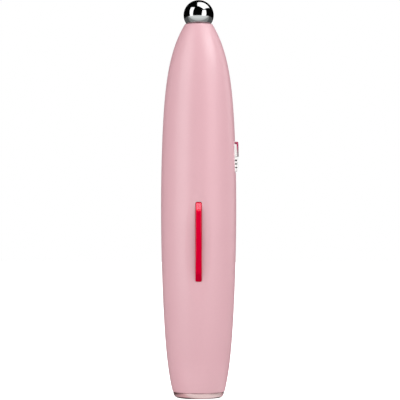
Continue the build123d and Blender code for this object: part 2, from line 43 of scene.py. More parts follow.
# Body
TOTAL_LENGTH = 150.0
BODY_RADIUS = 14.2
WIDEST_HEIGHT = 72.0
SEAM_HEIGHT, SEAM_RADIUS = 2.3, 9.85
SEAM_EDGE, SEAM_BEVEL = 0.15, (0.04, 0.045)
SHELL_WALL = 1.8
NOSE_GENTLE, NOSE_POWER = 0.377, 6.2
BASE_GENTLE, BASE_POWER = 0.673, 8.0
BALL_RADIUS, BALL_LIFT = 5.7, 3.2
SEAT_RADIUS = BALL_RADIUS + 0.05
BALL_HEIGHT = TOTAL_LENGTH - BALL_RADIUS
RIM_HEIGHT = BALL_HEIGHT - BALL_LIFT
RIM_RADIUS = sqrt(SEAT_RADIUS**2 - BALL_LIFT**2) + 0.25
LIP_LIFT = 3.5
LIP_HEIGHT = BALL_HEIGHT - LIP_LIFT
LIP_EDGE, LIP_WIDTH, LIP_RUN = 0.08, 0.16, 0.12
GROOVE_DEPTH, GROOVE_WIDTH, GROOVE_EDGE = 0.5, 0.26, 0.04
NOSE_FLOOR = BALL_HEIGHT - SEAT_RADIUS - 4.0
STUD_RADIUS, STUD_LOW, STUD_EDGE, STUD_BORE = 1.5, 130.15, 0.25, 1.65
GUIDE_RADIUS, GUIDE_HIGH = 8.45, 10.8

# Rows up the shell, finer in the nose, and columns round it, finer across its front
NOSE_START = 127.54
BODY_ROWS, NOSE_ROWS, BOWL_ROWS, INNER_ROWS = 202, 44, 12, 30
FRONT_ANGLE, FRONT_COLUMNS, OTHER_COLUMNS = 24, 56, 200

# Dimple and contact strip
DIMPLE_LOW, DIMPLE_HIGH, DIMPLE_DEPTH, DIMPLE_CROSS = 36.0, 78.0, 1.12, 26.0
DIMPLE_EDGE, DIMPLE_SOFTER, DIMPLE_FACING = 0.1, 0.45, 0.6
STRIP_HEIGHT, STRIP_LENGTH, STRIP_WIDTH = 58.9, 29.6, 2.3
STRIP_RISE, STRIP_CORNER, STRIP_EDGE = 0.3, 0.5, 0.45
STRIP_RAMP, STRIP_RAMP_DROP = 3.0, 0.75
RAMP_SOFT = 0.12
STRIP_LOW, STRIP_HIGH = STRIP_HEIGHT - STRIP_LENGTH / 2, STRIP_HEIGHT + STRIP_LENGTH / 2
STRIP_FLOOR = BODY_RADIUS - 1.3
STRIP_ROOM = 0.05
STRIP_POST_RADIUS, STRIP_POST_END = 1.0, BODY_RADIUS - 4.0
STRIP_POST_HEIGHTS = (47.6, 69.6)
OVERLAP = 0.1
BEYOND = 3.0

# Side control
CONTROL_HEIGHT, CONTROL_LENGTH, CONTROL_WIDTH, CONTROL_CORNER = 90.81, 11.22, 5.6, 1.0
CONTROL_DEPTH, CONTROL_INMOST = 3.74, 2.4
RIM_WIDTH, RIM_EDGE, RIM_INMOST = 0.5, 0.12, 2.6
WINDOW_ROOM = RIM_WIDTH + 0.05
CONTROL_TOP = CONTROL_HEIGHT + CONTROL_LENGTH / 2
CONTROL_LOW = CONTROL_HEIGHT - CONTROL_LENGTH / 2
BUTTON_GAP, BUTTON_LOW = 0.12, 90.76
WELL_WALL, WELL_CORNER = 1.2, 0.9
PLATE_TOP = BUTTON_LOW - BUTTON_GAP
PLATE_RISE, PLATE_LIFT, PLATE_CORNER, PLATE_EDGE = 0.9, 0.5, 0.8, 0.28
PLATE_RAMP, PLATE_RAMP_DROP = 1.2, 0.45
BUTTON_RISE, BUTTON_LIFT = 1.22, 1.3
FACE_THICKNESS, FACE_WRAP, FACE_WRAP_GAP, FACE_EDGE = 0.45, 0.66, 0.02, 0.3
CORE_CORNER, CORE_EDGE, CORE_GAP = 0.6, 0.05, 0.01
BUTTON_POST_RADIUS, BUTTON_POST_END = 1.2, 8.2
FLANGE_RADIUS, FLANGE_DEPTHS = 1.4, (0.5, 0.05)
INDICATOR_HEIGHTS = (89.4, 88.05, 86.7)
INDICATOR_HALF, INDICATOR_DEPTH, INDICATOR_RECESS, INDICATOR_GAP = 0.225, 0.6, 0.35, 0.03
INDICATOR_CORNER, INDICATOR_EDGE, INDICATOR_INMOST = 0.1, 0.08, 0.26

# Base
COLLAR_LOW, COLLAR_HIGH, COLLAR_OUTER, COLLAR_BORE = 2.9, 9.0, 8.7, 7.92
COLLAR_GAP, COLLAR_RUN, MOUTH_FLARE = 0.02, 0.5, 0.12
CAP_HEIGHT, CAP_RADIUS, CAP_FOOT, CAP_EDGE, CAP_RIM_EDGE = 2.23, 9.6, 9.4, 1.8, 0.14
SPIGOT_RADIUS, SPIGOT_TOP, SPIGOT_BORE, CAP_FLOOR = 7.3, 8.4, 6.6, 2.9
SPIGOT_OUTER_EDGE, SPIGOT_INNER_EDGE = 0.25, 0.15
BEAD_RADIUS, BEAD_LOW, BEAD_HIGH = 6.3, 3.35, 3.65
SMALL_EDGE, FINE_EDGE = 0.1, 0.05
COIN_SLOT_LENGTH, COIN_SLOT_WIDTH, COIN_SLOT_START, COIN_SLOT_DEPTH = 11.0, 1.6, -1.0, 1.1
THREAD_PITCH = 1.25
RIDGE_COLUMNS = 6
SEAL_RADIUS, SEAL_HEIGHT, SEAL_WIRE = 8.1, 2.46, 0.36

# Outlines of small turned pieces, each corner as (radius, height above its foot or below its top, rounding)
SPRING_PLATE_LOW = 2.95
SPRING_PLATE = (
    (0, 0, 0), (6.45, 0, 0.08), (6.45, 0.3, 0.08), (5.9, 0.3, 0.05), (5.75, 0.25, 0.05), (0, 0.25, 0))
CELL_LOW, CELL_HIGH, CELL_RADIUS = 12.6, 63.1, 7.25
CELL_FOOT = (
    (0, 0.25, 0), (4.6, 0.25, 0.2), (4.9, 0, 0.2), (6.6, 0, 0.3), (7.0, 0.45, 0.1), (CELL_RADIUS, 0.6, 0.2))
CELL_HEAD = (
    (CELL_RADIUS, 1.2, 0.3), (6.4, 1.05, 0.1), (6.2, 1.3, 0.1), (2.9, 1.2, 0.15), (2.75, 0, 0.3), (0, 0, 0))
CELL_BARE = (0.45, 1.05)

# Camera, level with the pen's middle, and the photograph's width in pixels
EYE = (0.51, -735.0, 74.48)
LENS, SENSOR = 175.1, 36.0
PHOTO_WIDTH = 400

# Lights: azimuth and elevation in degrees, width and height in metres, level. Then where they point, and from
# how far off, in metres
LIGHTS = {
    "left softbox": (-48, 18, 0.46, 1.10, 1.63), "right softbox": (60, 45, 0.50, 0.50, 4.1),
    "top light": (20, 88, 0.60, 0.60, 0.19), "right rim light": (122, 5, 0.30, 1.00, 0.69),
    "left side key": (-62, 12, 0.30, 0.80, 1.12), "right side key": (58, 12, 0.30, 0.80, 0.22),
    "right far side": (80, 12, 0.30, 0.80, 0.14)}
STRIP_LIGHTS = {"strip highlight": (5, 33, 0.40, 0.20, 5.8), "strip front light": (0, 12, 0.36, 0.05, 4.6)}
PEN_TARGET, PEN_LIGHT_DISTANCE = (0, 0, 0.09), 0.80
STRIP_TARGET, STRIP_LIGHT_DISTANCE = (0, -0.0145, 0.060), 0.50
FILL_LEVEL, WHITE_LEVEL = 0.775, 1.0
FLOOR_GREY, FLOOR_LIFT = 0.8, 0.8

# Corners of the glints on the ball, in pixels of the photograph, and the cards that make them
GLINTS = {
    "overhead card": [(197.5, 2.5), (197.4, 6.0), (203.7, 9.4), (209.4, 8.0), (206.4, 4.4), (202.4, 2.5)],
    "left card": [(191.2, 7.4), (194.8, 7.4), (193.0, 15.9), (190.2, 15.9)],
    "right card": [(202.3, 10.1), (205.8, 9.9), (206.0, 15.7), (201.5, 15.7)]}
CARD_DISTANCE, CARD_LEVEL = 800.0, 1.3

# Surround and floor, in metres
SQUARE = [(-1, -1), (1, -1), (1, 1), (-1, 1)]
FLOOR_REACH = 1.6
SURROUND_RADIUS, SURROUND_COLUMNS, SURROUND_ROWS = 1.4, 48, 8

# Table as reflected, with its light and shade painted in, in steps of (start, end, level at the start, level
# at the end), in metres. FRONT_STEPS run from behind the pen towards the camera, where the table is painted
# brighter. SIDEWAYS is the direction across the left softbox's light, and LEFT_OPEN and LIT run along it.
# RIGHT_OPEN and RIGHT_SHADE run from left to right. The others run with the distance from the pen's axis, and
# LEFT_SHADE is a share. Together they paint the pen's shadow and a pink bounce from its body round its foot.
FRONT_STEPS = ((0.05, -0.05, 0.10, 0.27), (-0.115, -0.165, 0.0, 0.31), (-0.16, -0.33, 0.0, 0.2))
SIDEWAYS = (0.45, 0.89)
LEFT_OPEN, RIGHT_OPEN = (-0.012, 0.010, 0.10, 0.93), (0.0095, 0.0130, 1.0, 0.75)
LIT = (0.0036, 0.0082)
LEFT_SHADE, RIGHT_SHADE = 0.9, (0.003, 0.0085, 0.0, 0.5)
CONTACT, UNDER_CAP = (0.0096, 0.0088), (0.0080, 0.0088, 0.55, 1.0)
NEAR, BELOW_NOSE = (0.060, 0.040), (0.130, 0.085)


# Outline of the body

def narrowing(way, gentle, power):
    """Share of the narrowing that is reached after a share of the way."""
    return gentle * way**2 + (1 - gentle) * way**power


def outline_radius(height):
    """Radius of the body's outer face at a height."""
    if height > WIDEST_HEIGHT:
        way = (height - WIDEST_HEIGHT) / (RIM_HEIGHT - WIDEST_HEIGHT)
        return BODY_RADIUS - (BODY_RADIUS - RIM_RADIUS) * narrowing(way, NOSE_GENTLE, NOSE_POWER)
    way = (WIDEST_HEIGHT - height) / (WIDEST_HEIGHT - SEAM_HEIGHT)
    return BODY_RADIUS - (BODY_RADIUS - SEAM_RADIUS) * narrowing(way, BASE_GENTLE, BASE_POWER)


def reach(height, across, rise):
    """How far out the body's face, lifted by a rise, lies at a height and a distance across."""
    return sqrt((outline_radius(height) + rise)**2 - across**2)


def soft_least(a, b, soft):
    """The lesser of two lengths, blended where they are nearly equal."""
    near = max(soft - abs(a - b), 0)
    return min(a, b) - near**2 / (4 * soft)


def raised(height, across, rise, low, high, ramps, drop):
    """How far out a raised face lies, with slopes of these lengths down towards its low and high end."""
    out = reach(height, across, rise)
    for end, ramp in ((low, ramps[0]), (high, -ramps[1])):
        if ramp:
            foot = outline_radius(end) + rise - drop
            crest = outline_radius(end + ramp) + rise
            out = soft_least(out, foot + (crest - foot) * (height - end) / ramp, RAMP_SOFT)
    return out


def circle_through(a, b, c):
    """Centre and radius of the circle through three points."""
    bx, by, cx, cy = b[0] - a[0], b[1] - a[1], c[0] - a[0], c[1] - a[1]
    turn = 2 * (bx * cy - by * cx)
    x = (cy * (bx**2 + by**2) - by * (cx**2 + cy**2)) / turn
    y = (bx * (cx**2 + cy**2) - cx * (bx**2 + by**2)) / turn
    return a[0] + x, a[1] + y, hypot(x, y)


DIMPLE_MIDDLE = (DIMPLE_LOW + DIMPLE_HIGH) / 2
SCOOP_Y, SCOOP_Z, SCOOP_RADIUS = circle_through(
    (-outline_radius(DIMPLE_LOW), DIMPLE_LOW),
    (DIMPLE_DEPTH - outline_radius(DIMPLE_MIDDLE), DIMPLE_MIDDLE),
    (-outline_radius(DIMPLE_HIGH), DIMPLE_HIGH))
CONTROL_INNER = outline_radius(CONTROL_HEIGHT) - CONTROL_DEPTH
WELL_FLOOR = CONTROL_INNER + WELL_WALL
BUTTON_FOOT = WELL_FLOOR + BUTTON_LIFT


def dimpled(across, out, height):
    """Front of the body at a point, pressed in by the dimple with soft edges."""
    ring = SCOOP_RADIUS - DIMPLE_CROSS + sqrt(DIMPLE_CROSS**2 - across**2)
    scoop = -SCOOP_Y - sqrt(max(ring**2 - (height - SCOOP_Z)**2, 0))
    way = min(max((height - DIMPLE_LOW) / (DIMPLE_HIGH - DIMPLE_LOW), 0), 1)
    return soft_least(out, scoop, DIMPLE_EDGE + DIMPLE_SOFTER * sin(pi * way))


# Meshes

def placed(name, data):
    """New object in the scene."""
    made = bpy.data.objects.new(name, data)
    bpy.context.scene.collection.objects.link(made)
    return made


def new_piece(name, points, faces, crease=35):
    """Mesh object in metres from points in millimetres, closed, smooth, with its normals outwards."""
    mesh = bpy.data.meshes.new(name)
    mesh.from_pydata([[c * MM for c in p] for p in points], [], faces)
    shape = bmesh.new()
    shape.from_mesh(mesh)
    bmesh.ops.remove_doubles(shape, verts=shape.verts, dist=1e-7)
    bmesh.ops.recalc_face_normals(shape, faces=shape.faces)
    shape.to_mesh(mesh)
    shape.free()
    piece = placed(name, mesh)
    soften(piece, crease)
    return piece


def soften(piece, crease=35):
    """Smooth shading that keeps edges sharper than the crease."""
    mesh = piece.data
    mesh.polygons.foreach_set("use_smooth", [True] * len(mesh.polygons))
    mesh.set_sharp_from_angle(angle=radians(crease))


def evenly(start, end, steps):
    """Values at even steps from the start to the end, both of them included."""
    return [start + (end - start) * i / steps for i in range(steps + 1)]


def unit(degrees):
    """Point on the unit circle."""
    return Vector((cos(radians(degrees)), sin(radians(degrees))))


def round_points(radius, count):
    """Points of a circle about the origin."""
    return [radius * unit(360 * k / count) for k in range(count)]


def loops_to_faces(rows, columns, closed=False):
    """Quads between closed rows of points that follow one another."""
    faces = []
    for i in range(rows if closed else rows - 1):
        a, b = i * columns, (i + 1) % rows * columns
        for j in range(columns):
            k = (j + 1) % columns
            faces.append((a + j, a + k, b + k, b + j))
    return faces


def rounded(corners, steps=5):
    """Open profile with its corners rounded. Each corner is (radius, height, rounding)."""
    line = []
    for i, (x, y, r) in enumerate(corners):
        if not r or i in (0, len(corners) - 1):
            line.append((x, y))
            continue
        here = Vector((x, y))
        before = (Vector(corners[i - 1][:2]) - here).normalized()
        after = (Vector(corners[i + 1][:2]) - here).normalized()
        half = before.angle(after) / 2
        away = r / tan(half)
        centre = here + (before + after).normalized() * r / sin(half)
        start, end = here + before * away - centre, here + after * away - centre
        for share in evenly(0, 1, steps):
            line.append(tuple(centre + start.lerp(end, share).normalized() * r))
    return line


def turned(name, profile, segments=144, ring=False):
    """Solid turned about Z from a profile of (radius, height). A ring's profile runs round to its start."""
    points = [(r * cos(2 * pi * j / segments), r * sin(2 * pi * j / segments), z)
              for r, z in profile for j in range(segments)]
    return new_piece(name, points, loops_to_faces(len(profile), segments, ring))


def rounded_box(width, length, corner, inset=0, count=10):
    """Outline of a rounded rectangle about the origin, drawn in by an inset, with as many points for any."""
    least, spacing, fewest = 0.02, 0.3, 4
    across, along = max(width / 2 - inset, least), max(length / 2 - inset, least)
    r = min(max(corner - inset, least), across, along)
    side, end = max(int(length / spacing), fewest), max(int(width / spacing), fewest)
    quarters = ((1, 1, end), (-1, 1, side), (-1, -1, end), (1, -1, side))
    centres = [Vector((x * (across - r), y * (along - r))) for x, y, straight in quarters]
    line = []
    for turn, (x, y, straight) in enumerate(quarters):
        arc = [centres[turn] + r * unit(90 * (turn + k / count)) for k in range(count + 1)]
        away = centres[(turn + 1) % 4] + r * unit(90 * (turn + 1))
        line += arc + [arc[-1].lerp(away, k / straight) for k in range(1, straight)]
    return line


def wider(width, length, corner, room):
    """Width, length and corner of a rounded rectangle that leaves room all round another."""
    return width + 2 * room, length + 2 * room, corner + room


def box_plan(width, length, corner, count=10):
    """A rounded rectangle's outline as a function of its inset."""
    return lambda inset: rounded_box(width, length, corner, inset, count)


def capsule(length, width, count=16, side=44):
    """Outline of a bar with round ends, along X about the origin."""
    r, half = width / 2, (length - width) / 2
    line = []
    for sign, start in ((1, 0), (-1, 180)):
        arc = [unit(start + 180 * k / count) for k in range(count)]
        line += [Vector((sign * half + r * p.y, r * p.x)) for p in arc]
        line += [Vector((sign * half * (1 - 2 * k / side), -sign * r)) for k in range(side)]
    return line


def reach_over(middle, rise):
    """The body's face, lifted by a rise, over a plan about a height."""
    return lambda u, v: reach(middle + v, u, rise)


def flat(out):
    """A flat floor under a plan."""
    return lambda u, v: out


def pad(name, outline, surface, edge, floor, place, inmost, steps=6):
    """Solid over an outline: a curved top with rounded edges, straight sides and a flat or shaped floor.

    outline(inset) gives the plan, surface(u, v) how far out the top lies, place(u, v, out) the point, and
    inmost is the inset of the top's last row."""
    rows = [[(p.x, p.y, floor(p.x, p.y)) for p in outline(0)]]
    for angle in evenly(0, pi / 2, steps):
        drop = edge * (1 - sin(angle))
        rows.append([(p.x, p.y, surface(p.x, p.y) - drop) for p in outline(edge * (1 - cos(angle)))])
    for inset in evenly(edge, inmost, steps)[1:]:
        rows.append([(p.x, p.y, surface(p.x, p.y)) for p in outline(inset)])
    count = len(rows[0])
    points = [place(*p) for row in rows for p in row]
    faces = loops_to_faces(len(rows), count)
    faces.append(tuple(range(len(points) - count, len(points))))
    faces.append(tuple(reversed(range(count))))
    return new_piece(name, points, faces)


def cut(piece, cutters, crease=35):
    """Takes the cutters out of the piece."""
    for cutter in cutters:
        step = piece.modifiers.new("cut", "BOOLEAN")
        step.operation = "DIFFERENCE"
        step.solver = "EXACT"
        step.object = cutter
    applied(piece, crease)
    for cutter in cutters:
        bpy.data.objects.remove(cutter)


def applied(piece, crease):
    """Makes the piece's modifiers part of its mesh."""
    graph = bpy.context.evaluated_depsgraph_get()
    mesh = bpy.data.meshes.new_from_object(piece.evaluated_get(graph))
    piece.modifiers.clear()
    piece.data = mesh
    soften(piece, crease)


def joined(pieces, name):
    """One mesh object from several."""
    whole = bmesh.new()
    for piece in pieces:
        whole.from_mesh(piece.data)
    mesh = bpy.data.meshes.new(name)
    whole.to_mesh(mesh)
    whole.free()
    for piece in pieces:
        bpy.data.objects.remove(piece)
    piece = placed(name, mesh)
    soften(piece)
    return piece


def prism(outline, floor, top, place):
    """Straight solid over an outline."""
    count = len(outline)
    points = [place(p.x, p.y, level) for level in (floor, top) for p in outline]
    faces = loops_to_faces(2, count)
    faces += [tuple(range(count, 2 * count)), tuple(reversed(range(count)))]
    return new_piece("prism", points, faces)


def post(radius, start, end, place):
    """Round post between two distances from the pen's axis."""
    return prism(round_points(radius, 32), start, end, place)


def on_side(height):
    """Places a plan of (across, up) on the +X side, about a height."""
    return lambda u, v, out: (out, u, height + v)


def on_front(height):
    """Places a plan of (across, up) on the front, about a height."""
    return lambda u, v, out: (u, -out, height + v)


# Node trees

SOCKET_KINDS = {
    "Vector": "Vector", "Normal": "Vector", "Color": "Color", "Other Color": "Color", "Points": "Int",
    "Finish": "Material", "Geometry": "Geometry"}


def feed(tree, socket, value):
    """Links a socket to the one that feeds it, or sets its value. A colour is given as three numbers."""
    if isinstance(value, bpy.types.NodeSocket):
        tree.links.new(value, socket)
    else:
        socket.default_value = (*value, 1.0) if socket.type == "RGBA" else value


def add(tree, kind, inputs=None, **settings):
    """Adds a node and returns its outputs. An input is a value or the socket that feeds it."""
    node = tree.nodes.new(kind)
    for key, value in settings.items():
        setattr(node, key, value)
    for key, value in (inputs or {}).items():
        known = None if isinstance(key, int) else next((s for s in node.inputs if s.identifier == key), None)
        feed(tree, known or node.inputs[key], value)
    return node.outputs


def tree_of(*values):
    """Node tree of the first socket among these values."""
    return next(value.id_data for value in values if isinstance(value, bpy.types.NodeSocket))


def calc(operation, a, b=0.0, clamp=False):
    """Result of one sum."""
    return add(tree_of(a, b), "ShaderNodeMath", {0: a, 1: b}, operation=operation, use_clamp=clamp)[0]


def plus(first, *others, clamp=False):
    """Sum of several values."""
    for other in others:
        first = calc("ADD", first, other, clamp=clamp)
    return first


def minus(a, b, clamp=False):
    """The first value less the second."""
    return calc("SUBTRACT", a, b, clamp=clamp)


def times(first, *others, clamp=False):
    """Product of several values."""
    for other in others:
        first = calc("MULTIPLY", first, other, clamp=clamp)
    return first


def mix_colour(share, a, b):
    """Colour between two, by a share."""
    inputs = {"Factor_Float": share, "A_Color": a, "B_Color": b}
    return add(tree_of(share), "ShaderNodeMix", inputs, data_type="RGBA")[2]


def mix_value(share, a, b):
    """Value between two, by a share."""
    return add(tree_of(a), "ShaderNodeMix", {"Factor_Float": share, "A_Float": a, "B_Float": b})[0]


def ramp(value, start, end, low=0.0, high=1.0, kind="LINEAR"):
    """Straight run from low at start to high at end, level before and after."""
    inputs = {"Value": value, "From Min": start, "From Max": end, "To Min": low, "To Max": high}
    return add(tree_of(value), "ShaderNodeMapRange", inputs, interpolation_type=kind)[0]


def eased(value, start, end, low=0.0, high=1.0):
    """Smooth step from low at start to high at end."""
    return ramp(value, start, end, low, high, "SMOOTHSTEP")


def parts(vector):
    """X, Y and Z of a vector."""
    return add(tree_of(vector), "ShaderNodeSeparateXYZ", {0: vector})


def from_axis(place):
    """Distance from the Z axis."""
    return calc("SQRT", plus(*(calc("POWER", place[i], 2.0) for i in (0, 1))))


def noise(vector, scale, detail, **inputs):
    """Noise between 0 and 1."""
    inputs.update(Vector=vector, Scale=scale, Detail=detail)
    return add(tree_of(vector), "ShaderNodeTexNoise", inputs)["Fac"]


def new_group(name, inputs, outputs, make):
    """Node group with named sockets, which are numbers unless SOCKET_KINDS says otherwise.

    make(tree, given) adds the nodes and returns what the outputs give."""
    tree = bpy.data.node_groups.new(name, "GeometryNodeTree" if "Geometry" in outputs else "ShaderNodeTree")
    for way, labels in (("INPUT", inputs), ("OUTPUT", outputs)):
        for label in labels:
            socket = "NodeSocket" + SOCKET_KINDS.get(label, "Float")
            tree.interface.new_socket(name=label, in_out=way, socket_type=socket)
    given, end = tree.nodes.new("NodeGroupInput").outputs, tree.nodes.new("NodeGroupOutput").inputs
    for value, socket in zip(make(tree, given), end):
        tree.links.new(value, socket)
    return tree


def edge_wear(tree, given):
    """Mask of worn edges, where a slightly rounded normal leaves the real one, and that normal."""
    soft = add(tree, "ShaderNodeBevel", {"Radius": given["Edge Width"]}, samples=4)[0]
    real = add(tree, "ShaderNodeNewGeometry")["True Normal"]
    same = add(tree, "ShaderNodeVectorMath", {0: soft, 1: real}, operation="DOT_PRODUCT")["Value"]
    edge = ramp(same, 0.985, 0.80)
    breakup = noise(given["Vector"], 900.0, 3.0)
    broken = minus(plus(edge, breakup), 0.75, clamp=True)
    return times(broken, given["Amount"], clamp=True), soft


def fine_grain(tree, given):
    """Fine grain of a coat or a moulded face, as a value and a height."""
    small = noise(given["Vector"], given["Scale"], 4.0, Roughness=0.6)
    wide = noise(given["Vector"], times(given["Scale"], 0.21), 1.0)
    both = plus(times(small, 0.7), times(wide, 0.3))
    value = plus(times(minus(both, 0.5), given["Contrast"]), 0.5, clamp=True)
    return value, both


def colour_drift(tree, given):
    """A colour that drifts a little in lightness and hue over the surface."""
    share = times(noise(given["Vector"], given["Scale"], 3.0), 0.6)
    mixed = mix_colour(share, given["Color"], given["Other Color"])
    light = plus(times(given["Grain"], 0.08), 0.96)
    return add(tree, "ShaderNodeHueSaturation", {"Color": mixed, "Value": light})[:1]


def handling_marks(tree, given):
    """Roughness with soft marks of handling."""
    marks = noise(given["Vector"], 140.0, 5.0, Roughness=0.65, Distortion=0.4)
    return [plus(times(minus(marks, 0.5), given["Spread"]), given["Roughness"], clamp=True)]


def turning_lines(tree, given):
    """Height of the fine rings that a lathe leaves round Z."""
    place = parts(given["Vector"])
    run = calc("DIVIDE", plus(from_axis(place), place[2]), given["Pitch"])
    line = add(tree, "ShaderNodeTexNoise", {"W": run, "Scale": 1.0, "Detail": 3.0}, noise_dimensions="1D")
    return [line["Fac"]]


EDGE_WEAR = new_group("edge wear", ["Vector", "Edge Width", "Amount"], ["Mask", "Normal"], edge_wear)
GRAIN = new_group("fine grain", ["Vector", "Scale", "Contrast"], ["Value", "Height"], fine_grain)
DRIFT = new_group(
    "colour drift", ["Vector", "Color", "Other Color", "Scale", "Grain"], ["Color"], colour_drift)
HANDLING = new_group("handling marks", ["Vector", "Roughness", "Spread"], ["Roughness"], handling_marks)
TURNING = new_group("turning lines", ["Vector", "Pitch"], ["Height"], turning_lines)


def use(tree, group, **inputs):
    """A group placed in a material. Underscores in the names stand for spaces."""
    node = tree.nodes.new("ShaderNodeGroup")
    node.node_tree = group
    for key, value in inputs.items():
        feed(tree, node.inputs[key.replace("_", " ")], value)
    return node.outputs


def bump(height, depth, normal):
    """Normal roughened by a height of this many millimetres."""
    inputs = {"Height": height, "Distance": depth * MM, "Strength": 1.0, "Normal": normal}
    return add(tree_of(height), "ShaderNodeBump", inputs)[0]


def finish(name, base, other, rough, spread=0.1, grain_scale=4000.0, grain_depth=0.001, grain_contrast=1.0,
           wear=None, wear_amount=0.6, edge=0.12, drift_scale=60.0, lines=0.0, lines_depth=0.002, paint=None,
           **constants):
    """A finish: base colour that drifts to another, grain, handling marks, worn edges and, for metal, lines.

    The grain's depth, the worn edges' width and the lines' pitch and depth are in millimetres."""
    material = bpy.data.materials.new(name)
    material.use_nodes = True
    tree = material.node_tree
    shader = tree.nodes["Principled BSDF"]
    place = add(tree, "ShaderNodeTexCoord")["Object"]
    grain = use(tree, GRAIN, Vector=place, Scale=grain_scale, Contrast=grain_contrast)
    tint = use(tree, DRIFT, Vector=place, Color=base, Other_Color=other, Scale=drift_scale,
               Grain=grain["Value"])["Color"]
    if paint:
        tint = paint(tree, place, tint)
    worn = use(tree, EDGE_WEAR, Vector=place, Edge_Width=edge * MM, Amount=wear_amount if wear else 0.0)
    if wear:
        tint = mix_colour(worn["Mask"], tint, wear)
    tree.links.new(tint, shader.inputs["Base Color"])
    marks = use(tree, HANDLING, Vector=place, Roughness=rough, Spread=spread)
    tree.links.new(marks["Roughness"], shader.inputs["Roughness"])
    normal = bump(grain["Height"], grain_depth, worn["Normal"])
    if lines:
        ridges = use(tree, TURNING, Vector=place, Pitch=lines * MM)
        normal = bump(ridges["Height"], lines_depth, normal)
    tree.links.new(normal, shader.inputs["Normal"])
    for key, value in constants.items():
        feed(tree, shader.inputs[key.replace("_", " ")], value)
    return material


def painted_highlight_fade(tree, place, tint):
    """Crimson at the button's top end, grey at its lower end: the grey is a painted highlight on the crimson.
    """
    share = eased(parts(place)[2], (CONTROL_TOP - 1.0) * MM, (BUTTON_LOW + 0.6) * MM)
    return mix_colour(share, tint, (0.36, 0.3, 0.31))


def sleeve(tree, place, tint):
    """Bare metal at both ends of the cell, its sleeve in between."""
    height, seam = parts(place)[2], 0.05
    sleeve_low, sleeve_high = CELL_LOW + CELL_BARE[0], CELL_HIGH - CELL_BARE[1]
    low = ramp(height, sleeve_low * MM, (sleeve_low - seam) * MM)
    high = ramp(height, (sleeve_high - seam) * MM, sleeve_high * MM)
    return mix_colour(calc("MAXIMUM", low, high), tint, (0.62, 0.62, 0.6))


def tracks(tree, place, tint):
    """Copper tracks under the board's green mask."""
    bend = add(tree, "ShaderNodeTexVoronoi", {"Vector": place, "Scale": 260.0}, distance="MANHATTAN")
    run = plus(times(parts(place)[1], 1400.0), times(bend["Distance"], 2.5))
    line = calc("LESS_THAN", calc("FRACT", run), 0.42)
    return mix_colour(times(line, 0.6), tint, (0.05, 0.3, 0.12))


SHELL_COAT = finish(
    "satin pink coat", (0.655, 0.376, 0.417), (0.627, 0.343, 0.385), 0.36, spread=0.07,
    grain_scale=5200.0, grain_depth=0.0015, grain_contrast=1.4, wear=(0.78, 0.5, 0.54), wear_amount=0.35,
    edge=0.15, Specular_IOR_Level=0.9, Coat_Weight=0.25, Coat_Roughness=0.3, Sheen_Weight=0.12,
    Sheen_Roughness=0.3, Sheen_Tint=(1.0, 0.55, 0.6))
CHROME = finish(
    "mirror chrome", (0.80, 0.80, 0.81), (0.76, 0.765, 0.78), 0.035, spread=0.03,
    grain_depth=0.0001, drift_scale=90.0, lines=0.06, lines_depth=0.00004, Metallic=1.0)
CAP_METAL = finish(
    "rose anodised metal", (0.86, 0.64, 0.64), (0.80, 0.55, 0.56), 0.2,
    wear=(0.86, 0.78, 0.77), wear_amount=0.55, edge=0.1, lines=0.08, lines_depth=0.0012, Metallic=1.0)
STRIP_METAL = finish(
    "glossy crimson anodise", (0.62, 0.0, 0.028), (0.58, 0.0, 0.024), 0.36, spread=0.08,
    grain_depth=0.0005, wear=(0.7, 0.03, 0.08), wear_amount=0.2, Metallic=0.5, Specular_IOR_Level=0.0,
    Coat_Weight=0.78, Coat_Roughness=0.06)
CONTROL_WHITE = finish(
    "white moulding", (0.9, 0.9, 0.88), (0.86, 0.86, 0.84), 0.28, spread=0.08,
    wear=(0.9, 0.9, 0.89), wear_amount=0.3, edge=0.1)
# The button's face fades from crimson to grey, a painted highlight on the crimson.
BUTTON_COAT = finish(
    "crimson coat with painted highlight", (0.46, 0.04, 0.115), (0.42, 0.035, 0.10), 0.25, spread=0.08,
    wear=(0.62, 0.3, 0.33), wear_amount=0.3, edge=0.1, paint=painted_highlight_fade,
    Coat_Weight=0.3, Coat_Roughness=0.12)
SMOKED = finish(
    "smoked window", (0.06, 0.06, 0.055), (0.04, 0.04, 0.038), 0.16, spread=0.06,
    grain_depth=0.0006, edge=0.06)
SEAL_RUBBER = finish(
    "black rubber", (0.028, 0.027, 0.028), (0.05, 0.047, 0.047), 0.62, spread=0.2,
    grain_scale=7000.0, grain_depth=0.006, edge=0.08)
BRASS = finish(
    "turned brass", (0.75, 0.58, 0.32), (0.62, 0.45, 0.24), 0.28, spread=0.14,
    wear=(0.9, 0.78, 0.5), edge=0.08, lines=0.1, lines_depth=0.001, Metallic=1.0)
SPRING_STEEL = finish(
    "drawn steel wire", (0.62, 0.62, 0.63), (0.5, 0.5, 0.52), 0.25, spread=0.12,
    lines=0.04, lines_depth=0.0008, Metallic=1.0)
CHASSIS_PLASTIC = finish(
    "black moulding", (0.05, 0.05, 0.055), (0.035, 0.035, 0.04), 0.5, spread=0.16,
    grain_scale=3200.0, grain_depth=0.01, wear=(0.16, 0.16, 0.17), edge=0.2)
BOARD_MASK = finish(
    "green solder mask", (0.015, 0.14, 0.06), (0.012, 0.11, 0.05), 0.32, grain_depth=0.002,
    wear=(0.5, 0.45, 0.3), edge=0.1, paint=tracks)
COMPONENT = finish(
    "black component moulding", (0.03, 0.03, 0.032), (0.05, 0.05, 0.052), 0.42, spread=0.14,
    grain_scale=6000.0, grain_depth=0.004, wear=(0.2, 0.2, 0.2), edge=0.06)
CLEAR = finish(
    "clear light guide", (0.9, 0.92, 0.92), (0.86, 0.9, 0.9), 0.14, spread=0.06,
    grain_depth=0.0006, edge=0.06, Transmission_Weight=0.85, IOR=1.49)
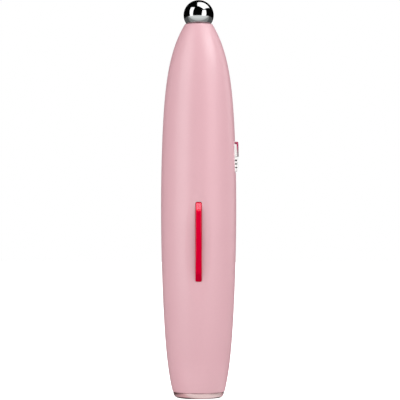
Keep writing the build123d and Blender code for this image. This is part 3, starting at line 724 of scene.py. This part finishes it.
CELL_SLEEVE = finish(
    "cell sleeve", (0.30, 0.31, 0.33), (0.26, 0.27, 0.29), 0.3,
    wear=(0.5, 0.5, 0.5), edge=0.1, paint=sleeve, Metallic=0.35)

NODE_FINISHES = (
    (SEAL_RUBBER, ("nose_seal", "button_seal")),
    (BRASS, ("electrode_tag", "electrode_nut", "electrode_contact", "strip_leaf", "battery_contact",
             "return_lead")),
    (CHASSIS_PLASTIC, ("chassis",)),
    (BOARD_MASK, ("circuit_board",)),
    (SPRING_STEEL, ("board_screws", "strip_washers")),
    (COMPONENT, ("controller_chip", "boost_coil", "capacitors", "tact_switch", "switch_stem")),
    (CLEAR, ("indicator_lights", "light_guide")))


def clothe(piece, material):
    """Gives a piece or a node its finish."""
    piece.data.materials.clear()
    piece.data.materials.append(material)


def dress(piece, material, body, node):
    """Gives a finished piece its finish and its body, and hides the node that it stands for."""
    clothe(piece, material)
    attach(piece, body)
    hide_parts(node)


# Wound and threaded pieces

def round_axis(radius, angle, height):
    """Point at a distance from the Z axis, an angle round it and a height."""
    x = times(radius, calc("COSINE", angle))
    y = times(radius, calc("SINE", angle))
    return add(tree_of(x), "ShaderNodeCombineXYZ", {0: x, 1: y, 2: height})[0]


def with_finish(shape, material):
    """A tree's shape, made real, in its finish."""
    tree = tree_of(shape)
    real = add(tree, "GeometryNodeRealizeInstances", {"Geometry": shape})[0]
    return [add(tree, "GeometryNodeSetMaterial", {"Geometry": real, "Material": material})[0]]


def wound_wire(tree, given):
    """Wire wound round Z between two heights, its end turns lying nearly flat."""
    line = add(tree, "GeometryNodeCurvePrimitiveLine", {"End": (0.0, 0.0, 1.0)})[0]
    fine = add(tree, "GeometryNodeResampleCurve", {"Curve": line, "Count": given["Points"]}, mode="COUNT")
    share = add(tree, "GeometryNodeSplineParameter")["Factor"]
    angle = times(share, given["Turns"], 2 * pi)
    radius = ramp(share, 0.0, 1.0, given["Low Radius"], given["High Radius"])
    flat_end = minus(1.0, given["Flat Share"])
    climb = ramp(share, given["Flat Share"], flat_end, given["Low"], given["High"])
    even = ramp(share, 0.0, 1.0, given["Low"], given["High"])
    height = mix_value(0.75, even, climb)
    spot = round_axis(radius, angle, height)
    moved = add(tree, "GeometryNodeSetPosition", {"Geometry": fine[0], "Position": spot})[0]
    section = {"Resolution": 14, "Radius": given["Wire Radius"]}
    section = add(tree, "GeometryNodeCurvePrimitiveCircle", section)[0]
    wire = add(tree, "GeometryNodeCurveToMesh", {"Curve": moved, "Profile Curve": section, "Fill Caps": True})
    return with_finish(wire[0], given["Finish"])


def wound_ridge(tree, given):
    """Thread ridge wound round Z: a tapered section, sunk at its feet, that runs out at both ends."""
    grid = {"Size X": 1.0, "Size Y": 1.0, "Vertices X": given["Points"], "Vertices Y": RIDGE_COLUMNS}
    rows = add(tree, "GeometryNodeMeshGrid", grid)[0]
    place = parts(add(tree, "GeometryNodeInputPosition")[0])
    share = plus(place[0], 0.5)
    side = times(place[1], 2.0)
    far = calc("ABSOLUTE", side)
    crest = calc("LESS_THAN", far, 0.5)
    sunk = times(calc("GREATER_THAN", far, 0.9), -0.25)
    width = mix_value(crest, given["Root Width"], given["Crest Width"])
    fade = times(ramp(share, 0.0, 0.08), ramp(share, 1.0, 0.92))
    level = plus(times(crest, fade), sunk)
    deep = minus(given["Crest Radius"], given["Radius"])
    radius = plus(given["Radius"], times(deep, level))
    turns = times(share, given["Turns"])
    angle = plus(times(turns, 2 * pi), given["Start Angle"])
    climb = plus(given["Low"], times(turns, given["Pitch"]))
    height = plus(climb, times(width, 0.5, calc("SIGN", side)))
    spot = round_axis(radius, angle, height)
    moved = add(tree, "GeometryNodeSetPosition", {"Geometry": rows, "Position": spot})[0]
    return with_finish(moved, given["Finish"])


WOUND_WIRE = new_group(
    "wound wire", ["Wire Radius", "Low Radius", "High Radius", "Turns", "Low", "High", "Flat Share", "Points",
                   "Finish"], ["Geometry"], wound_wire)
THREAD_RIDGE = new_group(
    "thread ridge", ["Radius", "Crest Radius", "Root Width", "Crest Width", "Pitch", "Low", "Turns",
                     "Start Angle", "Points", "Finish"], ["Geometry"], wound_ridge)


def grown(name, tree, lengths, numbers):
    """A mesh object made by a node tree with these lengths in millimetres and other values."""
    piece = placed(name, bpy.data.meshes.new(name))
    step = piece.modifiers.new("grow", "NODES")
    step.node_group = tree
    values = {label: length * MM for label, length in lengths.items()}
    values.update(numbers)
    for item in tree.interface.items_tree:
        if item.item_type == "SOCKET" and item.in_out == "INPUT" and item.name in values:
            step[item.identifier] = values[item.name]
    applied(piece, 50)
    return piece


def thread_ridge(root, crest, root_width, crest_width, low, turns, start, points, material):
    """Thread ridge closed along its back and at both ends."""
    piece = grown("ridge", THREAD_RIDGE,
        {"Radius": root, "Crest Radius": crest, "Root Width": root_width, "Crest Width": crest_width,
         "Pitch": THREAD_PITCH, "Low": low},
        {"Turns": turns, "Start Angle": start, "Points": points, "Finish": material})
    shape = bmesh.new()
    shape.from_mesh(piece.data)
    shape.verts.ensure_lookup_table()
    rows = [shape.verts[i:i + RIDGE_COLUMNS] for i in range(0, len(shape.verts), RIDGE_COLUMNS)]
    for a, b in zip(rows, rows[1:]):
        shape.faces.new((a[0], b[0], b[-1], a[-1]))
    shape.faces.new(rows[0])
    shape.faces.new(rows[-1])
    bmesh.ops.recalc_face_normals(shape, faces=shape.faces)
    shape.to_mesh(piece.data)
    shape.free()
    return piece


def spring(name, body, node, wire, radii, heights, turns, flat_share, points):
    """Wire spring between two radii and two heights."""
    piece = grown(name, WOUND_WIRE,
        {"Wire Radius": wire, "Low Radius": radii[0], "High Radius": radii[1], "Low": heights[0],
         "High": heights[1]},
        {"Turns": turns, "Flat Share": flat_share, "Points": points, "Finish": SPRING_STEEL})
    dress(piece, SPRING_STEEL, body, node)


# Pieces

def body_shell():
    """Walled shell: outline with its dimple, a fine groove round the ball, its seat, inner wall and mouth."""
    heights = evenly(SEAM_HEIGHT, NOSE_START, BODY_ROWS)
    heights += evenly(NOSE_START, LIP_HEIGHT - LIP_RUN, NOSE_ROWS)[1:]
    heights[0] += SEAM_EDGE
    outer = [(outline_radius(h), h) for h in heights]
    edge = outline_radius(LIP_HEIGHT)
    lip = rounded([(*outer[-1], 0), (edge, LIP_HEIGHT, LIP_EDGE), (edge - LIP_WIDTH, LIP_HEIGHT, GROOVE_EDGE),
                   (edge - LIP_WIDTH - GROOVE_WIDTH, LIP_HEIGHT - GROOVE_DEPTH, 0)], 4)
    bowl_low = sqrt(SEAT_RADIUS**2 - STUD_BORE**2)
    bowl = [(sqrt(SEAT_RADIUS**2 - depth**2), BALL_HEIGHT - depth)
            for depth in evenly(LIP_LIFT + GROOVE_DEPTH, bowl_low, BOWL_ROWS)]
    inner = [(outline_radius(h) - SHELL_WALL, h) for h in evenly(NOSE_FLOOR, GUIDE_HIGH, INNER_ROWS)]
    mouth_radius = COLLAR_OUTER + COLLAR_GAP
    mouth = [(GUIDE_RADIUS, GUIDE_HIGH), (GUIDE_RADIUS, COLLAR_HIGH), (mouth_radius, COLLAR_HIGH),
             (mouth_radius, SEAM_HEIGHT + MOUTH_FLARE), (mouth_radius + MOUTH_FLARE, SEAM_HEIGHT)]
    foot = [(SEAM_RADIUS - SEAM_EDGE, SEAM_HEIGHT),
            (SEAM_RADIUS - SEAM_BEVEL[0], SEAM_HEIGHT + SEAM_BEVEL[1])]
    profile = outer + lip[1:] + bowl + [(STUD_BORE, NOSE_FLOOR)] + inner + mouth + foot
    angles = evenly(-FRONT_ANGLE, FRONT_ANGLE, FRONT_COLUMNS)
    angles += evenly(FRONT_ANGLE, 360 - FRONT_ANGLE, OTHER_COLUMNS)[1:-1]
    points = []
    for i, (r, z) in enumerate(profile):
        for angle in angles:
            x, out = r * sin(radians(angle)), r * cos(radians(angle))
            if i < len(outer) and out > DIMPLE_FACING * r:
                out = dimpled(x, out, z)
            points.append((x, -out, z))
    shell = new_piece("body_shell_coated", points, loops_to_faces(len(profile), len(angles), closed=True))
    window = rounded_box(*wider(CONTROL_WIDTH, CONTROL_LENGTH, CONTROL_CORNER, WINDOW_ROOM))
    pocket = rounded_box(*wider(STRIP_WIDTH, STRIP_LENGTH, STRIP_CORNER, STRIP_ROOM))
    cut(shell, [prism(window, GUIDE_RADIUS, BODY_RADIUS + BEYOND, on_side(CONTROL_HEIGHT)),
                prism(pocket, STRIP_FLOOR, BODY_RADIUS + BEYOND, on_front(STRIP_HEIGHT))], 30)
    dress(shell, SHELL_COAT, "pen", "body_shell")


def ball():
    """Ball with its stud, turned in one piece."""
    low = sqrt(BALL_RADIUS**2 - STUD_RADIUS**2)
    round_part = [(max(BALL_RADIUS * cos(a), 0), BALL_RADIUS * sin(a)) for a in evenly(pi / 2, -pi / 2, 96)]
    profile = [(r, BALL_HEIGHT + z) for r, z in round_part if z >= -low]
    profile += [(STUD_RADIUS, BALL_HEIGHT - low), (STUD_RADIUS, STUD_LOW + STUD_EDGE),
                (STUD_RADIUS - STUD_EDGE, STUD_LOW), (0, STUD_LOW)]
    dress(turned("ball_polished", profile, 192), CHROME, "pen", "ball_electrode")


def strip():
    """Raised bar with rounded edges and ends that slope down into the dimple, on its two posts."""
    def top(u, v):
        """How far out the bar's top lies at a point of its plan."""
        return raised(STRIP_HEIGHT + v, u, STRIP_RISE, STRIP_LOW, STRIP_HIGH, (STRIP_RAMP, STRIP_RAMP),
                      STRIP_RAMP_DROP)

    bar = pad("bar", box_plan(STRIP_WIDTH, STRIP_LENGTH, STRIP_CORNER), top, STRIP_EDGE, flat(STRIP_FLOOR),
              on_front(STRIP_HEIGHT), STRIP_WIDTH / 2)
    posts = [post(STRIP_POST_RADIUS, STRIP_POST_END, STRIP_FLOOR + OVERLAP, on_front(height))
             for height in STRIP_POST_HEIGHTS]
    dress(joined([bar] + posts, "contact_strip_polished"), STRIP_METAL, "pen", "contact_strip")


def control_housing():
    """Flush rim round the button's well, and a raised plate with three slots."""
    plan = box_plan(*wider(CONTROL_WIDTH, CONTROL_LENGTH, CONTROL_CORNER, RIM_WIDTH))
    rim = pad("rim", plan, reach_over(CONTROL_HEIGHT, 0), RIM_EDGE, flat(CONTROL_INNER),
              on_side(CONTROL_HEIGHT), RIM_INMOST)
    well_top = CONTROL_TOP + BUTTON_GAP
    well = prism(rounded_box(CONTROL_WIDTH + 2 * BUTTON_GAP, well_top - PLATE_TOP, WELL_CORNER), WELL_FLOOR,
                 BODY_RADIUS + BEYOND, on_side((PLATE_TOP + well_top) / 2))
    cut(rim, [well])
    middle = (CONTROL_LOW + PLATE_TOP) / 2

    def plate_top(u, v):
        """How far out the plate's top lies at a point of its plan."""
        return raised(middle + v, u, PLATE_RISE, CONTROL_LOW, PLATE_TOP, (PLATE_RAMP, 0), PLATE_RAMP_DROP)

    plan = box_plan(CONTROL_WIDTH, PLATE_TOP - CONTROL_LOW, PLATE_CORNER)
    plate = pad("plate", plan, plate_top, PLATE_EDGE, flat(CONTROL_INNER + PLATE_LIFT), on_side(middle),
                CONTROL_INMOST)
    opening = [Vector((x * CONTROL_WIDTH, y * (INDICATOR_HALF + INDICATOR_GAP))) for x, y in SQUARE]
    slots = []
    for height in INDICATOR_HEIGHTS:
        bar_floor = reach(height, CONTROL_WIDTH / 2, PLATE_RISE - INDICATOR_RECESS - INDICATOR_DEPTH)
        slots.append(prism(opening, bar_floor - INDICATOR_GAP, BODY_RADIUS + BEYOND, on_side(height)))
    cut(plate, slots)
    housing = joined([rim, plate], "control_housing_moulded")
    dress(housing, CONTROL_WHITE, "pen", "control_housing")


def indicators():
    """Smoked bars in the plate's slots."""
    rise = PLATE_RISE - INDICATOR_RECESS
    plan = box_plan(CONTROL_WIDTH, 2 * INDICATOR_HALF, INDICATOR_CORNER, 3)
    bars = [pad("bar", plan, reach_over(height, rise), INDICATOR_EDGE,
                reach_over(height, rise - INDICATOR_DEPTH), on_side(height), INDICATOR_INMOST)
            for height in INDICATOR_HEIGHTS]
    dress(joined(bars, "indicator_bars"), SMOKED, "pen", "indicator_windows")


def button():
    """White core on its post, and the coated face that wraps over its top end."""
    middle = (BUTTON_LOW + CONTROL_TOP) / 2
    length = CONTROL_TOP - BUTTON_LOW
    under_face = BUTTON_RISE - FACE_THICKNESS

    def face_floor(u, v):
        """Underside of the face: on the core, and down to the foot where it wraps over the top end."""
        if middle + v > CONTROL_TOP - FACE_WRAP - FACE_WRAP_GAP:
            return BUTTON_FOOT
        return reach(middle + v, u, under_face)

    core_middle = middle - FACE_WRAP / 2
    core = pad("core", box_plan(CONTROL_WIDTH, length - FACE_WRAP, CORE_CORNER),
               reach_over(core_middle, under_face - CORE_GAP), CORE_EDGE, flat(BUTTON_FOOT),
               on_side(core_middle), CONTROL_INMOST)
    flange = [CONTROL_INNER - depth for depth in FLANGE_DEPTHS]
    posts = [post(BUTTON_POST_RADIUS, BUTTON_POST_END, BUTTON_FOOT + OVERLAP, on_side(middle)),
             post(FLANGE_RADIUS, *flange, on_side(middle))]
    core = joined([core] + posts, "button_core_moulded")
    dress(core, CONTROL_WHITE, "power_button", "button_core")
    face = pad("button_face_coated", box_plan(CONTROL_WIDTH, length, CONTROL_CORNER),
               reach_over(middle, BUTTON_RISE), FACE_EDGE, face_floor, on_side(middle), CONTROL_INMOST)
    dress(face, BUTTON_COAT, "power_button", "button_face")


def base_cap():
    """Cap with a rounded foot, coin slot, threaded spigot and the bead over the spring plate."""
    corners = [(0, 0, 0), (CAP_FOOT, 0, CAP_EDGE), (CAP_RADIUS, CAP_HEIGHT, CAP_RIM_EDGE),
               (SPIGOT_RADIUS, CAP_HEIGHT, SMALL_EDGE), (SPIGOT_RADIUS, SPIGOT_TOP, SPIGOT_OUTER_EDGE),
               (SPIGOT_BORE, SPIGOT_TOP, SPIGOT_INNER_EDGE), (SPIGOT_BORE, BEAD_HIGH, FINE_EDGE),
               (BEAD_RADIUS, BEAD_HIGH, FINE_EDGE), (BEAD_RADIUS, BEAD_LOW, FINE_EDGE),
               (SPIGOT_BORE, BEAD_LOW, FINE_EDGE), (SPIGOT_BORE, CAP_FLOOR, FINE_EDGE), (0, CAP_FLOOR, 0)]
    cap = turned("cap", rounded(corners, 7), 192)
    coin = capsule(COIN_SLOT_LENGTH, COIN_SLOT_WIDTH)
    cut(cap, [prism(coin, COIN_SLOT_START, COIN_SLOT_DEPTH, lambda u, v, out: (u, v, out))], 32)
    ridge = thread_ridge(SPIGOT_RADIUS, crest=7.72, root_width=0.62, crest_width=0.26, low=3.1, turns=3.7,
                         start=0.0, points=300, material=CAP_METAL)
    dress(joined([cap, ridge], "base_cap_turned"), CAP_METAL, "screw_cap", "base_cap")


def seal_ring():
    """Rubber ring in the seam between the cap and the shell."""
    wire = [(SEAL_RADIUS + p.x, SEAL_HEIGHT + p.y) for p in round_points(SEAL_WIRE, 20)]
    dress(turned("cap_seal_ring", wire, ring=True), SEAL_RUBBER, "screw_cap", "cap_seal")


def collar():
    """Brass collar in the shell's mouth, its thread between the turns of the cap's."""
    corners = [(COLLAR_BORE, COLLAR_HIGH - COLLAR_RUN, 0), (COLLAR_BORE, COLLAR_HIGH, 0.2),
               (COLLAR_OUTER, COLLAR_HIGH, SMALL_EDGE), (COLLAR_OUTER, COLLAR_LOW, SMALL_EDGE),
               (COLLAR_BORE, COLLAR_LOW, 0.3), (COLLAR_BORE, COLLAR_LOW + COLLAR_RUN, 0)]
    ring = turned("ring", rounded(corners, 4), 192, ring=True)
    ridge = thread_ridge(COLLAR_BORE, crest=7.45, root_width=0.6, crest_width=0.24, low=3.4, turns=4.0,
                         start=-pi + 2 * pi * 0.24, points=320, material=BRASS)
    dress(joined([ring, ridge], "base_collar_threaded"), BRASS, "pen", "base_collar")


def springs():
    """The cell's cone spring on its plate, and the spring under the stud."""
    plate = rounded([(r, SPRING_PLATE_LOW + up, edge) for r, up, edge in SPRING_PLATE], 3)
    plate = turned("spring_plate_pressed", plate, 128)
    dress(plate, BRASS, "spring_carrier", "spring_plate")
    spring("battery_spring_wound", "spring_carrier", "battery_spring", wire=0.35, radii=(5.4, 2.6),
           heights=(3.6, 12.25), turns=5.0, flat_share=0.09, points=260)
    spring("electrode_spring_wound", "pen", "electrode_spring", wire=0.2, radii=(1.45, 1.45),
           heights=(123.9, 129.95), turns=6.0, flat_share=0.1, points=200)


def cell():
    """One cell: sleeve with rolled edges, bare ends and the nub."""
    corners = [(r, CELL_LOW + up, edge) for r, up, edge in CELL_FOOT]
    corners += [(r, CELL_HIGH - down, edge) for r, down, edge in CELL_HEAD]
    dress(turned("cell_sleeved", rounded(corners, 4)), CELL_SLEEVE, "pen", "cell")


for make in (body_shell, ball, strip, control_housing, indicators, button, base_cap, seal_ring, collar,
             springs, cell):
    make()
for material, names in NODE_FINISHES:
    for name in names:
        clothe(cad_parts[name], material)


# Camera, floor and light

def camera():
    """Camera level with the pen's middle, framed as the photograph."""
    data = bpy.data.cameras.new("camera")
    data.lens = LENS
    data.sensor_width = SENSOR
    data.clip_start = 0.01
    eye = placed("camera", data)
    eye.location = Vector(EYE) * MM
    eye.rotation_euler = (pi / 2, 0, 0)
    bpy.context.scene.camera = eye


def panel(name, target, distance, azimuth, elevation, width, height, level):
    """Soft rectangular light that faces a point. Azimuth 0 is the camera's side, and + is right."""
    a, e = radians(azimuth), radians(elevation)
    spot = Vector(target) + distance * Vector((sin(a) * cos(e), -cos(a) * cos(e), sin(e)))
    data = bpy.data.lights.new(name, "AREA")
    data.shape = "RECTANGLE"
    data.size, data.size_y = width, height
    data.energy = level * pi * width * height
    light = placed(name, data)
    light.location = spot
    light.rotation_euler = (Vector(target) - spot).to_track_quat("-Z", "Y").to_euler()
    light.visible_camera = False
    return light


def light_link(light, piece_name, state):
    """A light or card reaches either one piece alone (INCLUDE) or every piece but that one (EXCLUDE)."""
    group = bpy.data.collections.new(light.name + " reach")
    group.objects.link(bpy.data.objects[piece_name])
    group.collection_objects[0].light_linking.link_state = state
    light.light_linking.receiver_collection = group


def bare_material(name):
    """Material without a shader, its tree, and the socket that a shader goes to."""
    material = bpy.data.materials.new(name)
    material.use_nodes = True
    tree = material.node_tree
    tree.nodes.remove(tree.nodes["Principled BSDF"])
    return material, tree, tree.nodes["Material Output"].inputs["Surface"]


def glow_material(name, value, strength=1.0):
    """Plain glowing finish for a card."""
    material, tree, surface = bare_material(name)
    glow = add(tree, "ShaderNodeEmission", {"Color": value, "Strength": strength})
    tree.links.new(glow[0], surface)
    return material


def sheet(name, points, faces, material):
    """Flat or curved sheet of the stage."""
    mesh = bpy.data.meshes.new(name)
    mesh.from_pydata(points, [], faces)
    mesh.materials.append(material)
    made = placed(name.replace(" ", "_"), mesh)
    return made


def reflected(name, points, faces, material):
    """Sheet that only mirror-like reflections see: no light, no shadow, not in view."""
    made = sheet(name, points, faces, material)
    made.visible_camera = made.visible_shadow = made.visible_diffuse = False
    made.visible_transmission = made.visible_volume_scatter = False
    return made


def ground_corners(height):
    """Corners of the floor, at a height."""
    return [(x * FLOOR_REACH, y * FLOOR_REACH, height) for x, y in SQUARE]


def white_world():
    """White in view and in polished and clear faces, an even fill for everything else."""
    world = bpy.data.worlds.new("studio")
    bpy.context.scene.world = world
    world.use_nodes = True
    tree = world.node_tree
    tree.nodes.clear()
    path = add(tree, "ShaderNodeLightPath")
    seen = calc("MAXIMUM", calc("MAXIMUM", path["Is Camera Ray"], path["Is Glossy Ray"]),
                path["Is Transmission Ray"])
    fill, white = (add(tree, "ShaderNodeBackground", {"Color": (1, 1, 1), "Strength": level})[0]
                   for level in (FILL_LEVEL, WHITE_LEVEL))
    both = add(tree, "ShaderNodeMixShader", {0: seen, 1: fill, 2: white})
    add(tree, "ShaderNodeOutputWorld", {"Surface": both[0]}, is_active_output=True)


def pale_floor():
    """Floor that takes the pen's shadow and runs out into the white behind."""
    material, tree, surface = bare_material("pale floor")
    seen = add(tree, "ShaderNodeLightPath")["Is Camera Ray"]
    paper = add(tree, "ShaderNodeBsdfDiffuse", {"Color": (FLOOR_GREY, FLOOR_GREY, FLOOR_GREY)})
    lift = add(tree, "ShaderNodeEmission", {"Color": (1, 1, 1), "Strength": times(seen, FLOOR_LIFT)})
    both = add(tree, "ShaderNodeAddShader", {0: paper[0], 1: lift[0]})
    tree.links.new(both[0], surface)
    ground = sheet("floor", ground_corners(0), [(0, 1, 2, 3)], material)
    ground.visible_glossy = False


def dark_surround():
    """Dark room that polished pieces mirror."""
    wall = []
    for rise in evenly(0, pi / 2, SURROUND_ROWS):
        ring = round_points(SURROUND_RADIUS * cos(rise), SURROUND_COLUMNS)
        wall += [(p.x, p.y, SURROUND_RADIUS * sin(rise)) for p in ring]
    reflected("dark surround", wall, loops_to_faces(SURROUND_ROWS + 1, SURROUND_COLUMNS),
              glow_material("dark surround", (0.0015, 0.0015, 0.0015)))


def reflected_table():
    """Table as polished pieces mirror it, its light and shade painted in: brighter towards the camera, with a
    painted shadow and a painted pink bounce from the body at the pen's foot.
    """
    pale, bounce_pink = (0.97, 1.0, 0.98), (1.0, 0.76, 0.79)
    table = glow_material("floor as reflected", pale)
    tree = table.node_tree
    glow = tree.nodes["Emission"].inputs
    place = parts(add(tree, "ShaderNodeTexCoord")["Object"])
    away = from_axis(place)
    sideways = minus(times(place[0], SIDEWAYS[0]), times(place[1], SIDEWAYS[1]))
    front = plus(*(eased(place[1], *step) for step in FRONT_STEPS))
    open_side = times(ramp(sideways, *LEFT_OPEN), eased(place[0], *RIGHT_OPEN))
    unlit = minus(1.0, eased(sideways, *LIT))
    sides = plus(times(unlit, LEFT_SHADE), eased(place[0], *RIGHT_SHADE))
    shaded = times(eased(away, *CONTACT), sides)
    kept = times(minus(1.0, shaded), eased(away, *UNDER_CAP))
    near = eased(away, *NEAR)
    beyond = minus(1.0, near)
    foot = times(near, times(open_side, kept))
    tree.links.new(plus(foot, times(front, beyond)), glow["Strength"])
    # Painted pink bounce from the pen's body, round its foot and below the nose
    below_nose = times(eased(away, *BELOW_NOSE), beyond)
    painted_pink_bounce = plus(times(near, unlit), below_nose)
    tree.links.new(mix_colour(painted_pink_bounce, pale, bounce_pink), glow["Color"])
    card = reflected("floor card", ground_corners(-0.001), [(0, 1, 2, 3)], table)
    light_link(card, "contact_strip_polished", "EXCLUDE")


def mirrored(x, y):
    """Point, far off in the direction that the ball mirrors at a pixel of the photograph."""
    scale = SENSOR / LENS / PHOTO_WIDTH
    sight = Vector(((x - PHOTO_WIDTH / 2) * scale, 1, (PHOTO_WIDTH / 2 - y) * scale)).normalized()
    centre = Vector((0, 0, BALL_HEIGHT))
    start = Vector(EYE) - centre
    miss = start - start.dot(sight) * sight
    touch = miss - sqrt(BALL_RADIUS**2 - miss.length_squared) * sight
    return (centre + CARD_DISTANCE * sight.reflect(touch.normalized())) * MM


def white_cards():
    """White cards that make the glints on the ball."""
    white = glow_material("white card", (1, 1, 1), CARD_LEVEL)
    for name, pixels in GLINTS.items():
        corners = [mirrored(x, y) for x, y in pixels]
        reflected(name, corners, [tuple(range(len(corners)))], white)


def lamps():
    """Lights that the ball doesn't mirror, because it has its own cards, and the strip's own two."""
    for name, numbers in LIGHTS.items():
        light_link(panel(name, PEN_TARGET, PEN_LIGHT_DISTANCE, *numbers), "ball_polished", "EXCLUDE")
    for name, numbers in STRIP_LIGHTS.items():
        light = panel(name, STRIP_TARGET, STRIP_LIGHT_DISTANCE, *numbers)
        light_link(light, "contact_strip_polished", "INCLUDE")


camera()
bpy.context.scene.view_settings.view_transform = "Standard"
white_world()
pale_floor()
dark_surround()
reflected_table()
white_cards()
lamps()
